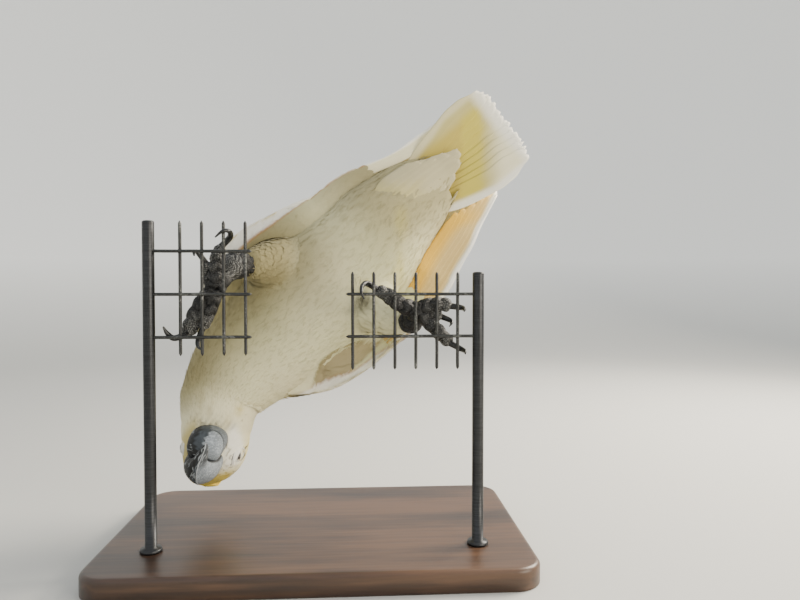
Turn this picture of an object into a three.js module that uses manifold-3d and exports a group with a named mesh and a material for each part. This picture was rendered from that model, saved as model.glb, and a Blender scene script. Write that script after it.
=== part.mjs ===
// A lesser sulphur-crested cockatoo at life size. It hangs head down on two cut squares of
// weld mesh, held by two rods on a flat base, as a museum would show it.
// Millimetres, +Z up. The origin is the middle of the underside of the base.
import * as THREE from 'three';
import { mergeVertices } from 'three/addons/utils/BufferGeometryUtils.js';
import Module from 'manifold-3d';

// ---- driving dimensions ----

const seam = 0.35; // clear gap between pieces that touch

const wire = {
  origin: [50, -40, 162], // a point of the mesh plane, from the middle of the base
  across: 12.7, // half-inch pitch of the upright wires
  up: 25.4, // one-inch pitch of the level wires
  shift: [-3.0, 3.6], // place of upright wire 0 and level wire 0 (x, z)
  radius: 1.0,
  layer: 0.8, // upright wires lie this far behind the plane, level wires in front
};
const patches = {
  left: { uprights: [-10, -7], levels: [-1, 1], bottom: -33, top: 47, rod: -148 },
  right: { uprights: [-2, 3], levels: [-1, 0], bottom: -42, top: 17, rod: 47.5 },
};
const stand = { width: 260, depth: 156, height: 13, edge: 3, corner: 14, rodRadius: 3.5 };

// The long axis of the body, from the crown of the head to the end of the tail. Each station
// has its place from the wire origin, half its width, and its depth to the belly and the back.
const stations = [
  { at: [-135.5, 54, -122], wide: 12.5, belly: 18, back: 21 }, // crown
  { at: [-122.5, 49, -103], wide: 20.8, belly: 23.5, back: 24 }, // head, at the eyes
  { at: [-120, 51, -86], wide: 23, belly: 21, back: 25 }, // cheeks and chin
  { at: [-118, 58, -69], wide: 27.5, belly: 22, back: 27 }, // neck
  { at: [-107, 64, -50], wide: 34.5, belly: 27, back: 32 }, // base of the neck
  { at: [-89, 69, -31], wide: 42, belly: 33, back: 37 }, // breast
  { at: [-68, 71, -11], wide: 45, belly: 36, back: 39 }, // chest
  { at: [-45, 71, 9], wide: 45, belly: 36.5, back: 38 }, // belly
  { at: [-23.5, 71, 29.5], wide: 41, belly: 34, back: 34 }, // loin
  { at: [-4, 72, 53], wide: 35, belly: 28, back: 27 }, // vent
  { at: [20.5, 74, 75.5], wide: 25.5, belly: 15.5, back: 16 }, // root of the tail
  { at: [51, 77, 100], wide: 9, belly: 3.5, back: 4 }, // end of the tail coverts
  { at: [80, 79, 125], wide: 5, belly: 1, back: 1 }, // end of the tail
];
const lengthwise = {
  crownStart: 0.05,
  headEnd: 2.3,
  neckEnd: 4.0,
  trunkEnd: 10.95,
  tailStart: 9.55,
  pitch: 30, // rough distance between stations
};

// Each wing is a curved shell round the side and the back. A row gives the station, then the
// low edge, the turn and the edge on the back as (sideways, towards the back) from the axis.
const wings = {
  right: [
    [3.9, [-31, -1], [-36, 14], [-22, 27]],
    [4.5, [-41, -5], [-45, 26], [-14, 38]],
    [5.3, [-54.5, -12], [-51, 37], [-7, 42]],
    [6.2, [-60, -17], [-54, 38], [-3, 44]],
    [7.5, [-61, -17], [-52, 36], [-2, 41]],
    [8.8, [-62, -15], [-48, 30], [-4, 34]],
    [9.9, [-54, -9], [-41, 21], [-6, 24]],
    [10.5, [-45, -2], [-37, 13], [-14, 17]],
    [11.1, [-35, 4], [-33, 8], [-29, 10]],
  ],
  left: [
    [3.9, [34, 2], [38, 16], [20, 29]],
    [4.5, [49, -3], [49, 26], [14, 39]],
    [5.3, [64.5, -8], [58, 37], [7, 42]],
    [6.2, [67.5, -9], [59, 38], [4, 44]],
    [7.5, [60, -6], [54, 36], [3, 41]],
    [8.8, [48.5, -4], [43, 31], [1, 34]],
    [9.9, [35, -1], [34, 22], [2, 24]],
    [10.6, [33.5, 3], [31, 14], [12, 17]],
    [11.4, [32.5, 5], [31.5, 8], [28, 10]],
  ],
};
const wingParts = {
  split: 0.58, // share of the length covered by the coverts
  splitGap: 0.003,
  armThick: 4,
  flightThick: 2.6,
  tipThick: 1.2,
  inward: 15,
};

const tail = { feathers: 12, root: 17, end: 32.5, arch: 5, thick: [9, 2.6], round: 0.09, scallop: 0.03 };

// The head has its own frame: its middle, the way the bill points, and the way the crown points.
const head = { middle: [-122, 49, -103], forward: [-0.08, -0.957, -0.28], crown: [-0.17, 0.27, -0.945] };
const eye = { radius: 5.2, forward: 8, crown: -5.5, side: 15.4 };
const cere = { forward: 21.5, crown: 6 }; // where the ridge of the bill leaves the feathers

// Sections of the bill: a point on its ridge and one on its other side, both as (forward,
// crown) from the cere, and half its width there.
const bills = {
  upper: [
    [[-6, 0.5], [-8, -16], 12],
    [[2, 0.5], [-1, -16], 12.2],
    [[9, -1.5], [4, -15.5], 11.2],
    [[14.6, -6], [7.5, -16], 8.8],
    [[17.8, -12], [10, -18], 6.6],
    [[18.6, -19], [12.8, -22.5], 5],
    [[17.4, -25.5], [13.4, -27], 3.6],
    [[15.6, -30.5], [13, -31.2], 2.2],
    [[13.8, -34], [13.2, -34.3], 0.7],
  ],
  lower: [
    [[-10, -17.3], [-14, -31.5], 10.6],
    [[-4, -17.4], [-6, -34], 12],
    [[1.5, -17.2], [1.5, -33], 11.6],
    [[5.4, -17.6], [7.4, -28.4], 9.4],
    [[8, -18.4], [10, -22], 5.8],
  ],
};

// How square the two halves are where they meet, and how much narrower their far side is.
const billForm = { square: 0.5, narrow: 0.22 };

// Crest feathers lie back over the crown and curl up at the tip: (side at the root, side at
// the tip, length as a share of the longest, half width).
const crestFeathers = [[-5, -8.5, 0.72, 4.4], [-1, -1, 1, 4.8], [3, 5, 0.84, 4.4]];
const crestPath = [[15, 15], [2, 23.5], [-14, 23], [-28, 17.5], [-41, 15], [-53, 17], [-63, 24]];

// Legs and toes: centre lines from the wire origin, each point with its radius.
const legs = {
  left: {
    thigh: [[-72, 64, 22, 21], [-84, 47, 22, 17], [-96, 33, 21.5, 9.5]],
    shank: [[-96, 32, 21.5, 6.2], [-102, 23.5, 21, 7.6], [-106.5, 15, 13.5, 5.2], [-111.5, 8.5, 7, 5.4]],
    toes: [
      [[-111.5, 8.5, 7, 4.8], [-110.5, 8.2, 16, 4], [-109.5, 8, 25, 3.7], [-107.8, 7.6, 32.5, 2.9]],
      [[-111.5, 8.5, 7, 4.8], [-119, 8, -2, 4.2], [-124, 7.4, -12, 4.2], [-127, 7, -20.5, 4]],
      [[-111.5, 8.5, 7, 4.8], [-113.5, 8.2, -3, 4], [-116.5, 7.8, -11, 3.5], [-118.5, 7.4, -17, 3]],
      [[-111.5, 8.5, 7, 4.8], [-115, 10.5, 14, 3.6], [-117, 10.8, 22.5, 3]],
    ],
    claws: [
      [[-107.6, 7.5, 32, 1.9], [-101.6, 4.6, 37.5, 1.8], [-100.9, -0.4, 40.6, 1.5],
        [-104, -3.9, 40.6, 1.1], [-108.6, -3.4, 37, 0.4]],
      [[-126.8, 7, -20, 2], [-134.4, 4, -22.6, 1.7],
        [-137.6, 0.8, -19.6, 1.3], [-139.4, -1.4, -15.4, 0.4]],
      [[-118.4, 7.4, -16.6, 1.8], [-121.2, 6.6, -24.2, 1.5], [-120.6, 4, -27.6, 1], [-118.6, 3, -29.4, 0.4]],
      [[-116.9, 10.7, 22, 1.8], [-121.2, 7.4, 28.6, 1.5], [-122.4, 4, 28.4, 1], [-121.8, 1.4, 26.4, 0.4]],
    ],
  },
  right: {
    thigh: [[-28, 62, 0, 19], [-11, 45, -8, 16.5], [5, 28, -13.5, 10]],
    shank: [[4.5, 28, -13.5, 5.4], [8.5, 20.5, -14, 6], [10, 13, -10.5, 5], [11, 8.5, -6.5, 5.4]],
    toes: [
      [[11, 8.5, -6.5, 4.8], [1, 8.2, -3, 4.2], [-7, 7.6, 2.6, 3.9], [-13.4, 6.8, 6.4, 3]],
      [[11, 8.5, -6.5, 4.8], [19, 7.4, -3.4, 4], [26, 6.8, -2.8, 3.7], [31.2, 6.3, -3.8, 3]],
      [[11, 8.5, -6.5, 4.8], [19, 9.4, -8.6, 3.8], [26, 9.2, -10.4, 3.3]],
      [[11, 8.5, -6.5, 4.8], [17, 7.6, -12.5, 4], [24.5, 7.2, -20, 3.7], [31.4, 6.8, -27, 3.1]],
    ],
    claws: [
      [[-12.9, 6.8, 6.2, 1.9], [-19.4, 4.4, 9.8, 1.8], [-22.4, 0.6, 8.8, 1.5],
        [-23.2, -3.9, 5, 1.1], [-21.4, -4.4, 0.6, 0.4]],
      [[30.8, 6.3, -3.8, 1.9], [37.6, 4.4, -4.8, 1.6], [39.2, 1, -5.6, 1.2], [38.6, -2.4, -6.8, 0.4]],
      [[25.6, 9.2, -10.3, 1.8], [31.4, 6, -12.8, 1.4], [31.6, 3.2, -14.6, 0.9], [30.2, 1.4, -16, 0.4]],
      [[31.1, 6.8, -26.7, 1.9], [37.4, 4.8, -30, 1.6], [39.6, 1.4, -31.2, 1.2], [39.4, -2.4, -32.4, 0.4]],
    ],
  },
};

// ---- joining and cutting ----

const wasm = await Module();
wasm.setup();

function toSolid(geometry) {
  const bare = geometry.clone();
  bare.deleteAttribute('normal');
  bare.deleteAttribute('uv');
  const merged = mergeVertices(bare, 1e-5);
  return new wasm.Manifold(new wasm.Mesh({
    numProp: 3,
    vertProperties: new Float32Array(merged.attributes.position.array),
    triVerts: new Uint32Array(merged.index.array),
  }));
}

function toGeometry(solid) {
  const mesh = solid.getMesh();
  const geometry = new THREE.BufferGeometry();
  geometry.setAttribute('position', new THREE.Float32BufferAttribute(mesh.vertProperties, 3));
  geometry.setIndex(new THREE.Uint32BufferAttribute(mesh.triVerts, 1));
  return geometry;
}

function join(geometries) {
  return toGeometry(geometries.map(toSolid).reduce((whole, next) => whole.add(next)));
}

function cut(geometry, ...tools) {
  return toGeometry(tools.map(toSolid).reduce((whole, next) => whole.subtract(next), toSolid(geometry)));
}

// ---- rings, tubes and blades ----

// Closes a row of rings, each a list of as many points, into one body facing outwards. A
// round end closes on its middle, and a flat one from its upper half to its lower half.
function skinned(rings, flat = false) {
  const count = rings[0].length;
  const points = rings.flat();
  const faces = [];
  const last = (rings.length - 1) * count;
  for (let i = 0; i < count; i += 1) {
    const next = (i + 1) % count;
    for (let row = 0; row < last; row += count) {
      faces.push(row + i, row + next, row + count + next, row + i, row + count + next, row + count + i);
    }
  }
  if (flat) {
    for (let i = 0; i < count / 2 - 1; i += 1) {
      const [a, b, c, d] = [i, i + 1, count - 2 - i, count - 1 - i];
      faces.push(a, c, b, a, d, c, last + a, last + b, last + c, last + a, last + c, last + d);
    }
  } else {
    const middle = (ring) => ring.reduce((sum, p) => sum.add(p), new THREE.Vector3()).divideScalar(count);
    points.push(middle(rings[0]), middle(rings.at(-1)));
    for (let i = 0; i < count; i += 1) {
      const next = (i + 1) % count;
      faces.push(points.length - 2, next, i, points.length - 1, last + i, last + next);
    }
  }
  let volume = 0;
  for (let i = 0; i < faces.length; i += 3) {
    const [a, b, c] = faces.slice(i, i + 3).map((index) => points[index]);
    volume += a.dot(b.clone().cross(c));
  }
  const geometry = new THREE.BufferGeometry().setFromPoints(points);
  geometry.setIndex(volume > 0 ? faces : faces.reverse());
  return geometry;
}

// Smooth value between the rows of a table of numbers, at a fractional row.
function between(table, row) {
  const last = table.length - 1;
  const i = Math.min(Math.max(Math.floor(row), 0), last - 1);
  const t = row - i;
  const here = table[i];
  const next = table[i + 1];
  return here.map((b, axis) => {
    const c = next[axis];
    const a = i > 0 ? table[i - 1][axis] : 2 * b - c;
    const d = i + 2 <= last ? table[i + 2][axis] : 2 * c - b;
    const square = 2 * a - 5 * b + 4 * c - d;
    const cube = 3 * b - a - 3 * c + d;
    return b + 0.5 * ((c - a) * t + square * t ** 2 + cube * t ** 3);
  });
}

function steps(from, to, count) {
  return Array.from({ length: count + 1 }, (_, i) => from + ((to - from) * i) / count);
}

// The way a table of [x, y, z, …] runs at a fractional row.
function heading(table, row) {
  const tiny = 0.01;
  const near = Math.min(Math.max(row, tiny), table.length - 1 - tiny);
  const [ahead, behind] = [near + tiny, near - tiny].map(
    (place) => new THREE.Vector3(...between(table, place).slice(0, 3)),
  );
  return ahead.sub(behind).normalize();
}

// A round tube along a list of [x, y, z, radius], each ring turned as little as can be. Grow
// swells it all round and at both ends.
function tube(path, sides, pieces, grow = 0) {
  const side = new THREE.Vector3(0.3, 1, 0.2);
  const rings = steps(0, path.length - 1, pieces).map((row, ring) => {
    const [x, y, z, radius] = between(path, row);
    const along = heading(path, row);
    side.addScaledVector(along, -along.dot(side)).normalize();
    const up = along.clone().cross(side);
    const end = (ring === pieces) - (ring === 0);
    const center = new THREE.Vector3(x, y, z).addScaledVector(along, grow * end);
    return steps(0, 2 * Math.PI, sides).slice(1).map((turn) => center.clone()
      .addScaledVector(side, (radius + grow) * Math.cos(turn))
      .addScaledVector(up, (radius + grow) * Math.sin(turn)));
  });
  return skinned(rings);
}

// ---- the body ----

const axisPlaces = stations.map((station) => station.at);
const axisSizes = stations.map(({ wide, belly, back }) => [wide, belly, back]);

// A point of the body: so far sideways (left is plus) and towards the back from a station.
function bodyPoint(station, sideways, backwards) {
  const along = heading(axisPlaces, station);
  const dorsal = new THREE.Vector3(0, 1, 0).addScaledVector(along, -along.y).normalize();
  const left = along.clone().cross(dorsal);
  return new THREE.Vector3(...between(axisPlaces, station))
    .addScaledVector(left, sideways)
    .addScaledVector(dorsal, backwards);
}

// The body between two stations. The crown closes as a dome. Grow swells it all round and
// at both ends.
function bodyLength(from, to, pieces, grow = 0) {
  const sides = 20;
  const rings = steps(from, to, pieces).map((station, row) => {
    const [wide, belly, back] = between(axisSizes, station);
    const dome = station < 1 ? Math.sqrt(Math.max(station * (2 - station), 0)) : 1;
    const beyond = heading(axisPlaces, station).multiplyScalar(grow * ((row === pieces) - (row === 0)));
    return steps(0, 2 * Math.PI, sides).slice(1).map((turn) => {
      const depth = Math.sin(turn) > 0 ? back : belly;
      const sideways = (wide * dome + grow) * Math.cos(turn);
      return bodyPoint(station, sideways, (depth * dome + grow) * Math.sin(turn)).add(beyond);
    });
  });
  return skinned(rings);
}

// ---- wings and tail ----

// A shell of rows by columns over the surface place(s, t), swollen outwards and inwards.
function blade(place, rows, columns, outward, inward) {
  const tiny = 0.002;
  const rings = rows.map((s) => {
    const layers = [outward, inward].map((swell, layer) => columns.map((t) => {
      const alongS = place(Math.min(s + tiny, 1), t).sub(place(Math.max(s - tiny, 0), t));
      const alongT = place(s, Math.min(t + tiny, 1)).sub(place(s, Math.max(t - tiny, 0)));
      const normal = alongS.cross(alongT).normalize();
      return place(s, t).addScaledVector(normal, (layer ? -1 : 1) * swell(s, t));
    }));
    return [...layers[0], ...layers[1].reverse()];
  });
  return skinned(rings, true);
}

function wingPlace(rows, facing) {
  const table = rows.map(([station, low, turn, high]) => [station, ...low, ...turn, ...high]);
  return (s, t) => {
    const [station, lowX, lowY, turnX, turnY, highX, highY] = between(table, s * (table.length - 1));
    const across = facing > 0 ? t : 1 - t;
    const low = (1 - across) ** 2;
    const turn = 2 * across * (1 - across);
    const high = across ** 2;
    return bodyPoint(
      station,
      low * lowX + turn * turnX + high * highX,
      low * lowY + turn * turnY + high * highY,
    );
  };
}

// One stretch of a wing, from its own surface inwards to what it lies on.
function wingStretch(rows, facing, from, to, thick, inward) {
  const place = wingPlace(rows, facing);
  const swell = (deep) => (s, t) => {
    const share = (s - from) / (to - from);
    return THREE.MathUtils.lerp(deep[0], deep[1], share) * (0.35 + 0.65 * Math.sqrt(Math.sin(Math.PI * t)));
  };
  const sunk = (s, t) => swell(inward)(s, t) * Math.sin(Math.PI * t) ** 0.5 + 0.8;
  return blade(place, steps(from, to, 8), steps(0, 1, 8), swell(thick), sunk);
}

// The tail is a fan of flat feathers, arched across, with a round end scalloped by their tips.
function tailFan(grow = 0) {
  const start = lengthwise.tailStart - grow / lengthwise.pitch;
  const place = (s, t) => {
    const side = 2 * t - 1;
    const scallop = tail.scallop * Math.abs(Math.sin(Math.PI * tail.feathers * t));
    const end = stations.length - 1 + tail.round * (1 - side ** 2) - tail.round * side ** 8 + scallop;
    const wide = THREE.MathUtils.lerp(tail.root, tail.end, Math.min(1, s * 1.5) ** 0.8) + grow;
    return bodyPoint(start + (end - start) * s, -side * wide, tail.arch * (0.5 - side ** 2) * (1 - 0.5 * s));
  };
  const thick = (s, t) => {
    const deep = THREE.MathUtils.lerp(tail.thick[0], tail.thick[1], Math.min(1, s * 1.6) ** 0.6);
    return 0.5 * deep * (0.5 + 0.5 * Math.sqrt(Math.sin(Math.PI * t))) + grow;
  };
  return blade(place, steps(0, 1, 5), steps(0, 1, 2 * tail.feathers), thick, thick);
}

// ---- the head's own pieces ----

function headPoint(forward, crown, right) {
  const front = new THREE.Vector3(...head.forward).normalize();
  const top = new THREE.Vector3(...head.crown);
  top.addScaledVector(front, -front.dot(top)).normalize();
  return new THREE.Vector3(...head.middle)
    .addScaledVector(front, forward)
    .addScaledVector(top, crown)
    .addScaledVector(front.clone().cross(top), right);
}

// A half of the bill: an oval from its ridge to its other side at each section, narrower at
// the ridge and flat at the gape, which is the end of the oval told by its share.
function billHalf(sections, sides, pieces, gape) {
  const table = sections.map(([ridge, other, wide]) => [...ridge, ...other, wide]);
  const rings = steps(0, table.length - 1, pieces).map((row) => {
    const [ridgeX, ridgeY, otherX, otherY, wide] = between(table, row);
    return steps(0, 2 * Math.PI, sides).slice(1).map((turn) => {
      const share = 0.5 + 0.5 * Math.cos(turn);
      const round = 1 - billForm.square * (1 - Math.abs(share - gape));
      const width = wide * Math.sign(Math.sin(turn)) * Math.abs(Math.sin(turn)) ** round
        * (1 - billForm.narrow * share);
      return headPoint(
        cere.forward + otherX + (ridgeX - otherX) * share,
        cere.crown + otherY + (ridgeY - otherY) * share,
        width,
      );
    });
  });
  return skinned(rings);
}

function eyeball(side, grow) {
  const ball = new THREE.SphereGeometry(eye.radius + grow, 10, 7);
  const place = headPoint(eye.forward, eye.crown, side * eye.side);
  return ball.translate(place.x, place.y, place.z);
}

// One flat pointed feather of the crest, thicker than a real one so that it stands as a solid.
function crestFeather([rootSide, tipSide, length, wide]) {
  const thick = 1.3;
  const rings = steps(0, 1, 5).map((s) => {
    const [forward, crown] = between(crestPath, s * length * (crestPath.length - 1));
    const side = THREE.MathUtils.lerp(rootSide, tipSide, s);
    const half = wide * (0.35 + 0.65 * Math.sin(Math.PI * Math.min(1, 0.25 + 0.72 * s)));
    return steps(0, 2 * Math.PI, 6).slice(1).map((turn) => headPoint(
      forward,
      crown + thick * (1 - 0.4 * s) * Math.sin(turn),
      side + half * Math.cos(turn),
    ));
  });
  return skinned(rings);
}

// ---- the perch and its stand ----

function cylinder(from, to, radius, sides) {
  const line = new THREE.LineCurve3(new THREE.Vector3(...from), new THREE.Vector3(...to));
  const disc = new THREE.Shape(steps(0, 2 * Math.PI, sides).slice(1).map(
    (turn) => new THREE.Vector2(radius * Math.cos(turn), radius * Math.sin(turn)),
  ));
  return new THREE.ExtrudeGeometry(disc, { extrudePath: line, steps: 1, bevelEnabled: false });
}

// A cut square of weld mesh. Its level wires run on to the rod that carries it.
function meshPatch({ uprights, levels, bottom, top, rod }) {
  const [shiftX, shiftZ] = wire.shift;
  const xs = steps(uprights[0], uprights[1], uprights[1] - uprights[0]).map((i) => shiftX + i * wire.across);
  const zs = steps(levels[0], levels[1], levels[1] - levels[0]).map((i) => shiftZ + i * wire.up);
  const overhang = 4;
  const inner = rod < xs[0] ? xs.at(-1) + overhang : xs[0] - overhang;
  const reach = stand.rodRadius * 0.6;
  const outer = rod < xs[0] ? rod + reach : rod - reach;
  const wires = [
    ...xs.map((x) => cylinder([x, wire.layer, bottom], [x, wire.layer, top], wire.radius, 6)),
    ...zs.map((z) => cylinder([inner, -wire.layer, z], [outer, -wire.layer, z], wire.radius, 6)),
  ];
  return join(wires);
}

function standRod({ top, rod }, grow = 0) {
  const [x, y, z] = wire.origin;
  const from = [x + rod, y, stand.height - grow];
  const to = [x + rod, y, z + top];
  return cylinder(from, to, stand.rodRadius + grow, 14);
}

function standBase() {
  const { width, depth, height, edge, corner } = stand;
  const outline = new THREE.Shape();
  const [halfWide, halfDeep] = [width / 2 - edge, depth / 2 - edge];
  outline.moveTo(corner - halfWide, -halfDeep);
  outline.lineTo(halfWide - corner, -halfDeep);
  outline.absarc(halfWide - corner, corner - halfDeep, corner, -Math.PI / 2, 0);
  outline.lineTo(halfWide, halfDeep - corner);
  outline.absarc(halfWide - corner, halfDeep - corner, corner, 0, Math.PI / 2);
  outline.lineTo(corner - halfWide, halfDeep);
  outline.absarc(corner - halfWide, halfDeep - corner, corner, Math.PI / 2, Math.PI);
  outline.lineTo(-halfWide, corner - halfDeep);
  outline.absarc(corner - halfWide, corner - halfDeep, corner, Math.PI, 1.5 * Math.PI);
  const bevel = { bevelEnabled: true, bevelThickness: edge, bevelSize: edge, bevelSegments: 1 };
  const slab = new THREE.ExtrudeGeometry(outline, { depth: height - 2 * edge, curveSegments: 4, ...bevel });
  return slab.translate(0, 0, edge);
}

// ---- the finished pieces ----

const finishes = {
  plumage: { color: 0xe6e2cc, roughness: 0.85, metalness: 0 },
  yellowPlumage: { color: 0xe8cf55, roughness: 0.85, metalness: 0 },
  horn: { color: 0x4c4f52, roughness: 0.6, metalness: 0 },
  footSkin: { color: 0x46474a, roughness: 0.8, metalness: 0 },
  claw: { color: 0x26272a, roughness: 0.35, metalness: 0 },
  eyeball: { color: 0x1a1210, roughness: 0.08, metalness: 0 },
  wireCoat: { color: 0x2a2b29, roughness: 0.45, metalness: 0.6 },
  standSteel: { color: 0x3a3b3c, roughness: 0.4, metalness: 0.8 },
  standWood: { color: 0x3b2a1e, roughness: 0.55, metalness: 0 },
};

const cockatoo = new THREE.Group();
const bird = new THREE.Group();
bird.position.set(...wire.origin);
cockatoo.add(bird);

function add(group, name, geometry, finish) {
  const mesh = new THREE.Mesh(geometry, new THREE.MeshStandardMaterial(finishes[finish]));
  mesh.name = name;
  group.add(mesh);
}

const { crownStart, headEnd, neckEnd, trunkEnd } = lengthwise;
const headLength = (grow) => bodyLength(crownStart, headEnd, 9, grow);
const neckLength = (grow) => bodyLength(headEnd, neckEnd, 4, grow);
const trunkLength = (grow) => bodyLength(neckEnd, trunkEnd, 11, grow);
const [headHollow, neckHollow, trunkHollow] = [headLength(seam), neckLength(seam), trunkLength(seam)];

add(bird, 'head', cut(headLength(0), eyeball(1, seam), eyeball(-1, seam)), 'plumage');
add(bird, 'neck', cut(neckLength(0), headHollow), 'plumage');
add(bird, 'eye_left', eyeball(-1, 0), 'eyeball');
add(bird, 'eye_right', eyeball(1, 0), 'eyeball');
add(bird, 'bill_upper', cut(billHalf(bills.upper, 12, 10, 0), headHollow), 'horn');
add(bird, 'bill_lower', cut(billHalf(bills.lower, 12, 6, 1), headHollow), 'horn');
add(bird, 'crest', cut(join(crestFeathers.map(crestFeather)), headHollow), 'yellowPlumage');

const legTubes = {};
for (const side of ['left', 'right']) {
  const leg = legs[side];
  legTubes[side] = {
    thigh: tube(leg.thigh, 14, 5),
    thighHollow: tube(leg.thigh, 14, 5, seam),
    foot: join([tube(leg.shank, 8, 6), ...leg.toes.map((toe) => tube(toe, 7, 5))]),
  };
}

const tailHollow = tailFan(2 * seam);
const thighHollows = [legTubes.left.thighHollow, legTubes.right.thighHollow];
add(bird, 'trunk', cut(trunkLength(0), neckHollow, tailHollow, ...thighHollows), 'plumage');
add(bird, 'tail', tailFan(), 'plumage');

for (const [side, facing] of [['left', 1], ['right', -1]]) {
  const rows = wings[side];
  const { split, splitGap, armThick, flightThick, tipThick, inward } = wingParts;
  const arm = wingStretch(rows, facing, 0, split, [armThick, flightThick], [inward, inward]);
  const flight = wingStretch(rows, facing, split + splitGap, 1, [flightThick, tipThick], [inward, tipThick]);
  add(bird, `wing_${side}`, cut(arm, neckHollow, trunkHollow, ...thighHollows), 'plumage');
  add(bird, `flight_${side}`, cut(flight, trunkHollow, tailHollow), 'plumage');
}

for (const side of ['left', 'right']) {
  const leg = legs[side];
  const { thigh, thighHollow, foot } = legTubes[side];
  add(bird, `thigh_${side}`, thigh, 'plumage');
  add(bird, `foot_${side}`, cut(foot, thighHollow), 'footSkin');
  const footHollow = join(leg.toes.map((toe) => tube(toe, 7, 5, seam)));
  leg.claws.forEach((claw, i) => {
    add(bird, `claw_${side}_${i + 1}`, cut(tube(claw, 6, 5), footHollow), 'claw');
  });
}

for (const side of ['left', 'right']) {
  const hollow = standRod(patches[side], seam);
  hollow.translate(...wire.origin.map((value) => -value));
  add(bird, `perch_mesh_${side}`, cut(meshPatch(patches[side]), hollow), 'wireCoat');
  add(cockatoo, `stand_rod_${side}`, standRod(patches[side]), 'standSteel');
}
add(cockatoo, 'stand_base', standBase(), 'standWood');

export default cockatoo;
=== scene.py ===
import math
import bpy
import numpy as np
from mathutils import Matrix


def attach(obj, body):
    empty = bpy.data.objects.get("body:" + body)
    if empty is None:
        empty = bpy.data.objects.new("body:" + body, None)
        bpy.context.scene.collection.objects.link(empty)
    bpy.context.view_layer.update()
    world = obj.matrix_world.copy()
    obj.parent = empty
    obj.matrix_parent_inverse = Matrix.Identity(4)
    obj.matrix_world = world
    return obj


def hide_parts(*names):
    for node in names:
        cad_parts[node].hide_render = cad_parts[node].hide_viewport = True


# A lesser sulphur-crested cockatoo hanging head down on two squares of weld mesh. Shapes of
# the bird are worked out in millimetres from one point of the mesh plane (the wire origin),
# with x to the right, y away from the viewer and z up, and toPart() puts them in place.

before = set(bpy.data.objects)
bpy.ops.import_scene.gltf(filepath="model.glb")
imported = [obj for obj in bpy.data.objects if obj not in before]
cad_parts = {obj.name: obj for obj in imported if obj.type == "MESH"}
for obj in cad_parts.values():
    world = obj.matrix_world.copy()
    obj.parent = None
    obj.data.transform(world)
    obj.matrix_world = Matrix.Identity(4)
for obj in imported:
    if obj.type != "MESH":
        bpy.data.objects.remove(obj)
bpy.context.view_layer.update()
random = np.random.default_rng(21)
wireOrigin = np.array([50.0, -40.0, 162.0])
print("frame loaded")


# small helpers for arrays

def toPart(points):
    # millimetres from the wire origin to metres in the part
    return (np.asarray(points) + wireOrigin) * 0.001


def fromPart(points):
    return np.asarray(points) * 1000 - wireOrigin


def unit(vectors):
    return vectors / np.maximum(np.linalg.norm(vectors, axis=-1, keepdims=True), 1e-9)


def dot(a, b):
    return (a * b).sum(-1, keepdims=True)


def scattered(i, j, salt):
    # a number from 0 to 1 for each cell of a lattice, the same each time
    return np.modf(np.abs(np.sin(i * 127.1 + j * 311.7 + salt * 74.7) * 43758.5453))[0]


def cells(u, v, salt=0.0):
    # distances to the nearest and the second nearest of points jittered in a unit lattice,
    # and a random number for the nearest: grains, scales and flakes
    i, j = np.floor(u), np.floor(v)
    first, second, kind = np.full(u.shape, 9.0), np.full(u.shape, 9.0), np.zeros(u.shape)
    for di in (-1, 0, 1):
        for dj in (-1, 0, 1):
            a, b = i + di, j + dj
            away = np.hypot(a + 0.1 + 0.8 * scattered(a, b, salt) - u,
                            b + 0.1 + 0.8 * scattered(a, b, salt + 9) - v)
            nearer = away < first
            second = np.where(nearer, first, np.minimum(second, away))
            kind = np.where(nearer, scattered(a, b, salt + 17), kind)
            first = np.minimum(first, away)
    return first, second, kind


def smooth(low, high, value):
    t = np.clip((value - low) / (high - low), 0, 1)
    return t * t * (3 - 2 * t)


def circle(count):
    # angles once round, in equal steps
    return np.linspace(0, 2 * np.pi, count, endpoint=False)


def toward(base, other, amount):
    # colours moved from base towards another by a share of the way
    return base + (other - base) * amount[..., None]


def readAt(table, value):
    # straight lines through a table of (place, value)
    return np.interp(value, *np.array(table, float).T)


def steps(surface, s, a):
    # how far a surface moves per unit of s and per unit of a
    e = 0.004
    return ((surface(s + e, a) - surface(s - e, a)) / (2 * e),
            (surface(s, a + e) - surface(s, a - e)) / (2 * e))


def facing(surface, s, a, outward):
    # 1 where the cross product of a surface's steps points along the outward way, otherwise -1
    return np.sign((np.cross(*steps(surface, np.array([s]), np.array([a]))) * outward).sum())


def between(table, rows):
    # smooth curve through the rows of a table, read at fractional rows
    table = np.asarray(table, float)
    rows = np.asarray(rows, float)
    last = len(table) - 1
    i = np.clip(np.floor(rows).astype(int), 0, last - 1)
    t = (rows - i)[..., None]
    b, c = table[i], table[i + 1]
    a = np.where((i > 0)[..., None], table[np.maximum(i - 1, 0)], 2 * b - c)
    d = np.where((i + 2 <= last)[..., None], table[np.minimum(i + 2, last)], 2 * c - b)
    return b + 0.5 * ((c - a) * t + (2 * a - 5 * b + 4 * c - d) * t ** 2
                      + (3 * b - a - 3 * c + d) * t ** 3)


def heading(table, rows):
    near = np.clip(rows, 0.01, len(table) - 1.01)
    places = np.asarray(table, float)[:, :3]
    return unit(between(places, near + 0.01) - between(places, near - 0.01))


# meshes

def gridFaces(rows, columns, closed=False, looped=False):
    # four-sided faces over a grid of points, its columns joined round if closed, and its
    # rows too if looped
    row = np.arange(rows if looped else rows - 1)[:, None]
    column = np.arange(columns if closed else columns - 1)[None, :]
    after = (column + 1) % columns
    below = (row + 1) % rows
    corners = [row * columns + column, row * columns + after, below * columns + after,
               below * columns + column]
    return np.stack(np.broadcast_arrays(*corners), -1).reshape(-1, 4)


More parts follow.
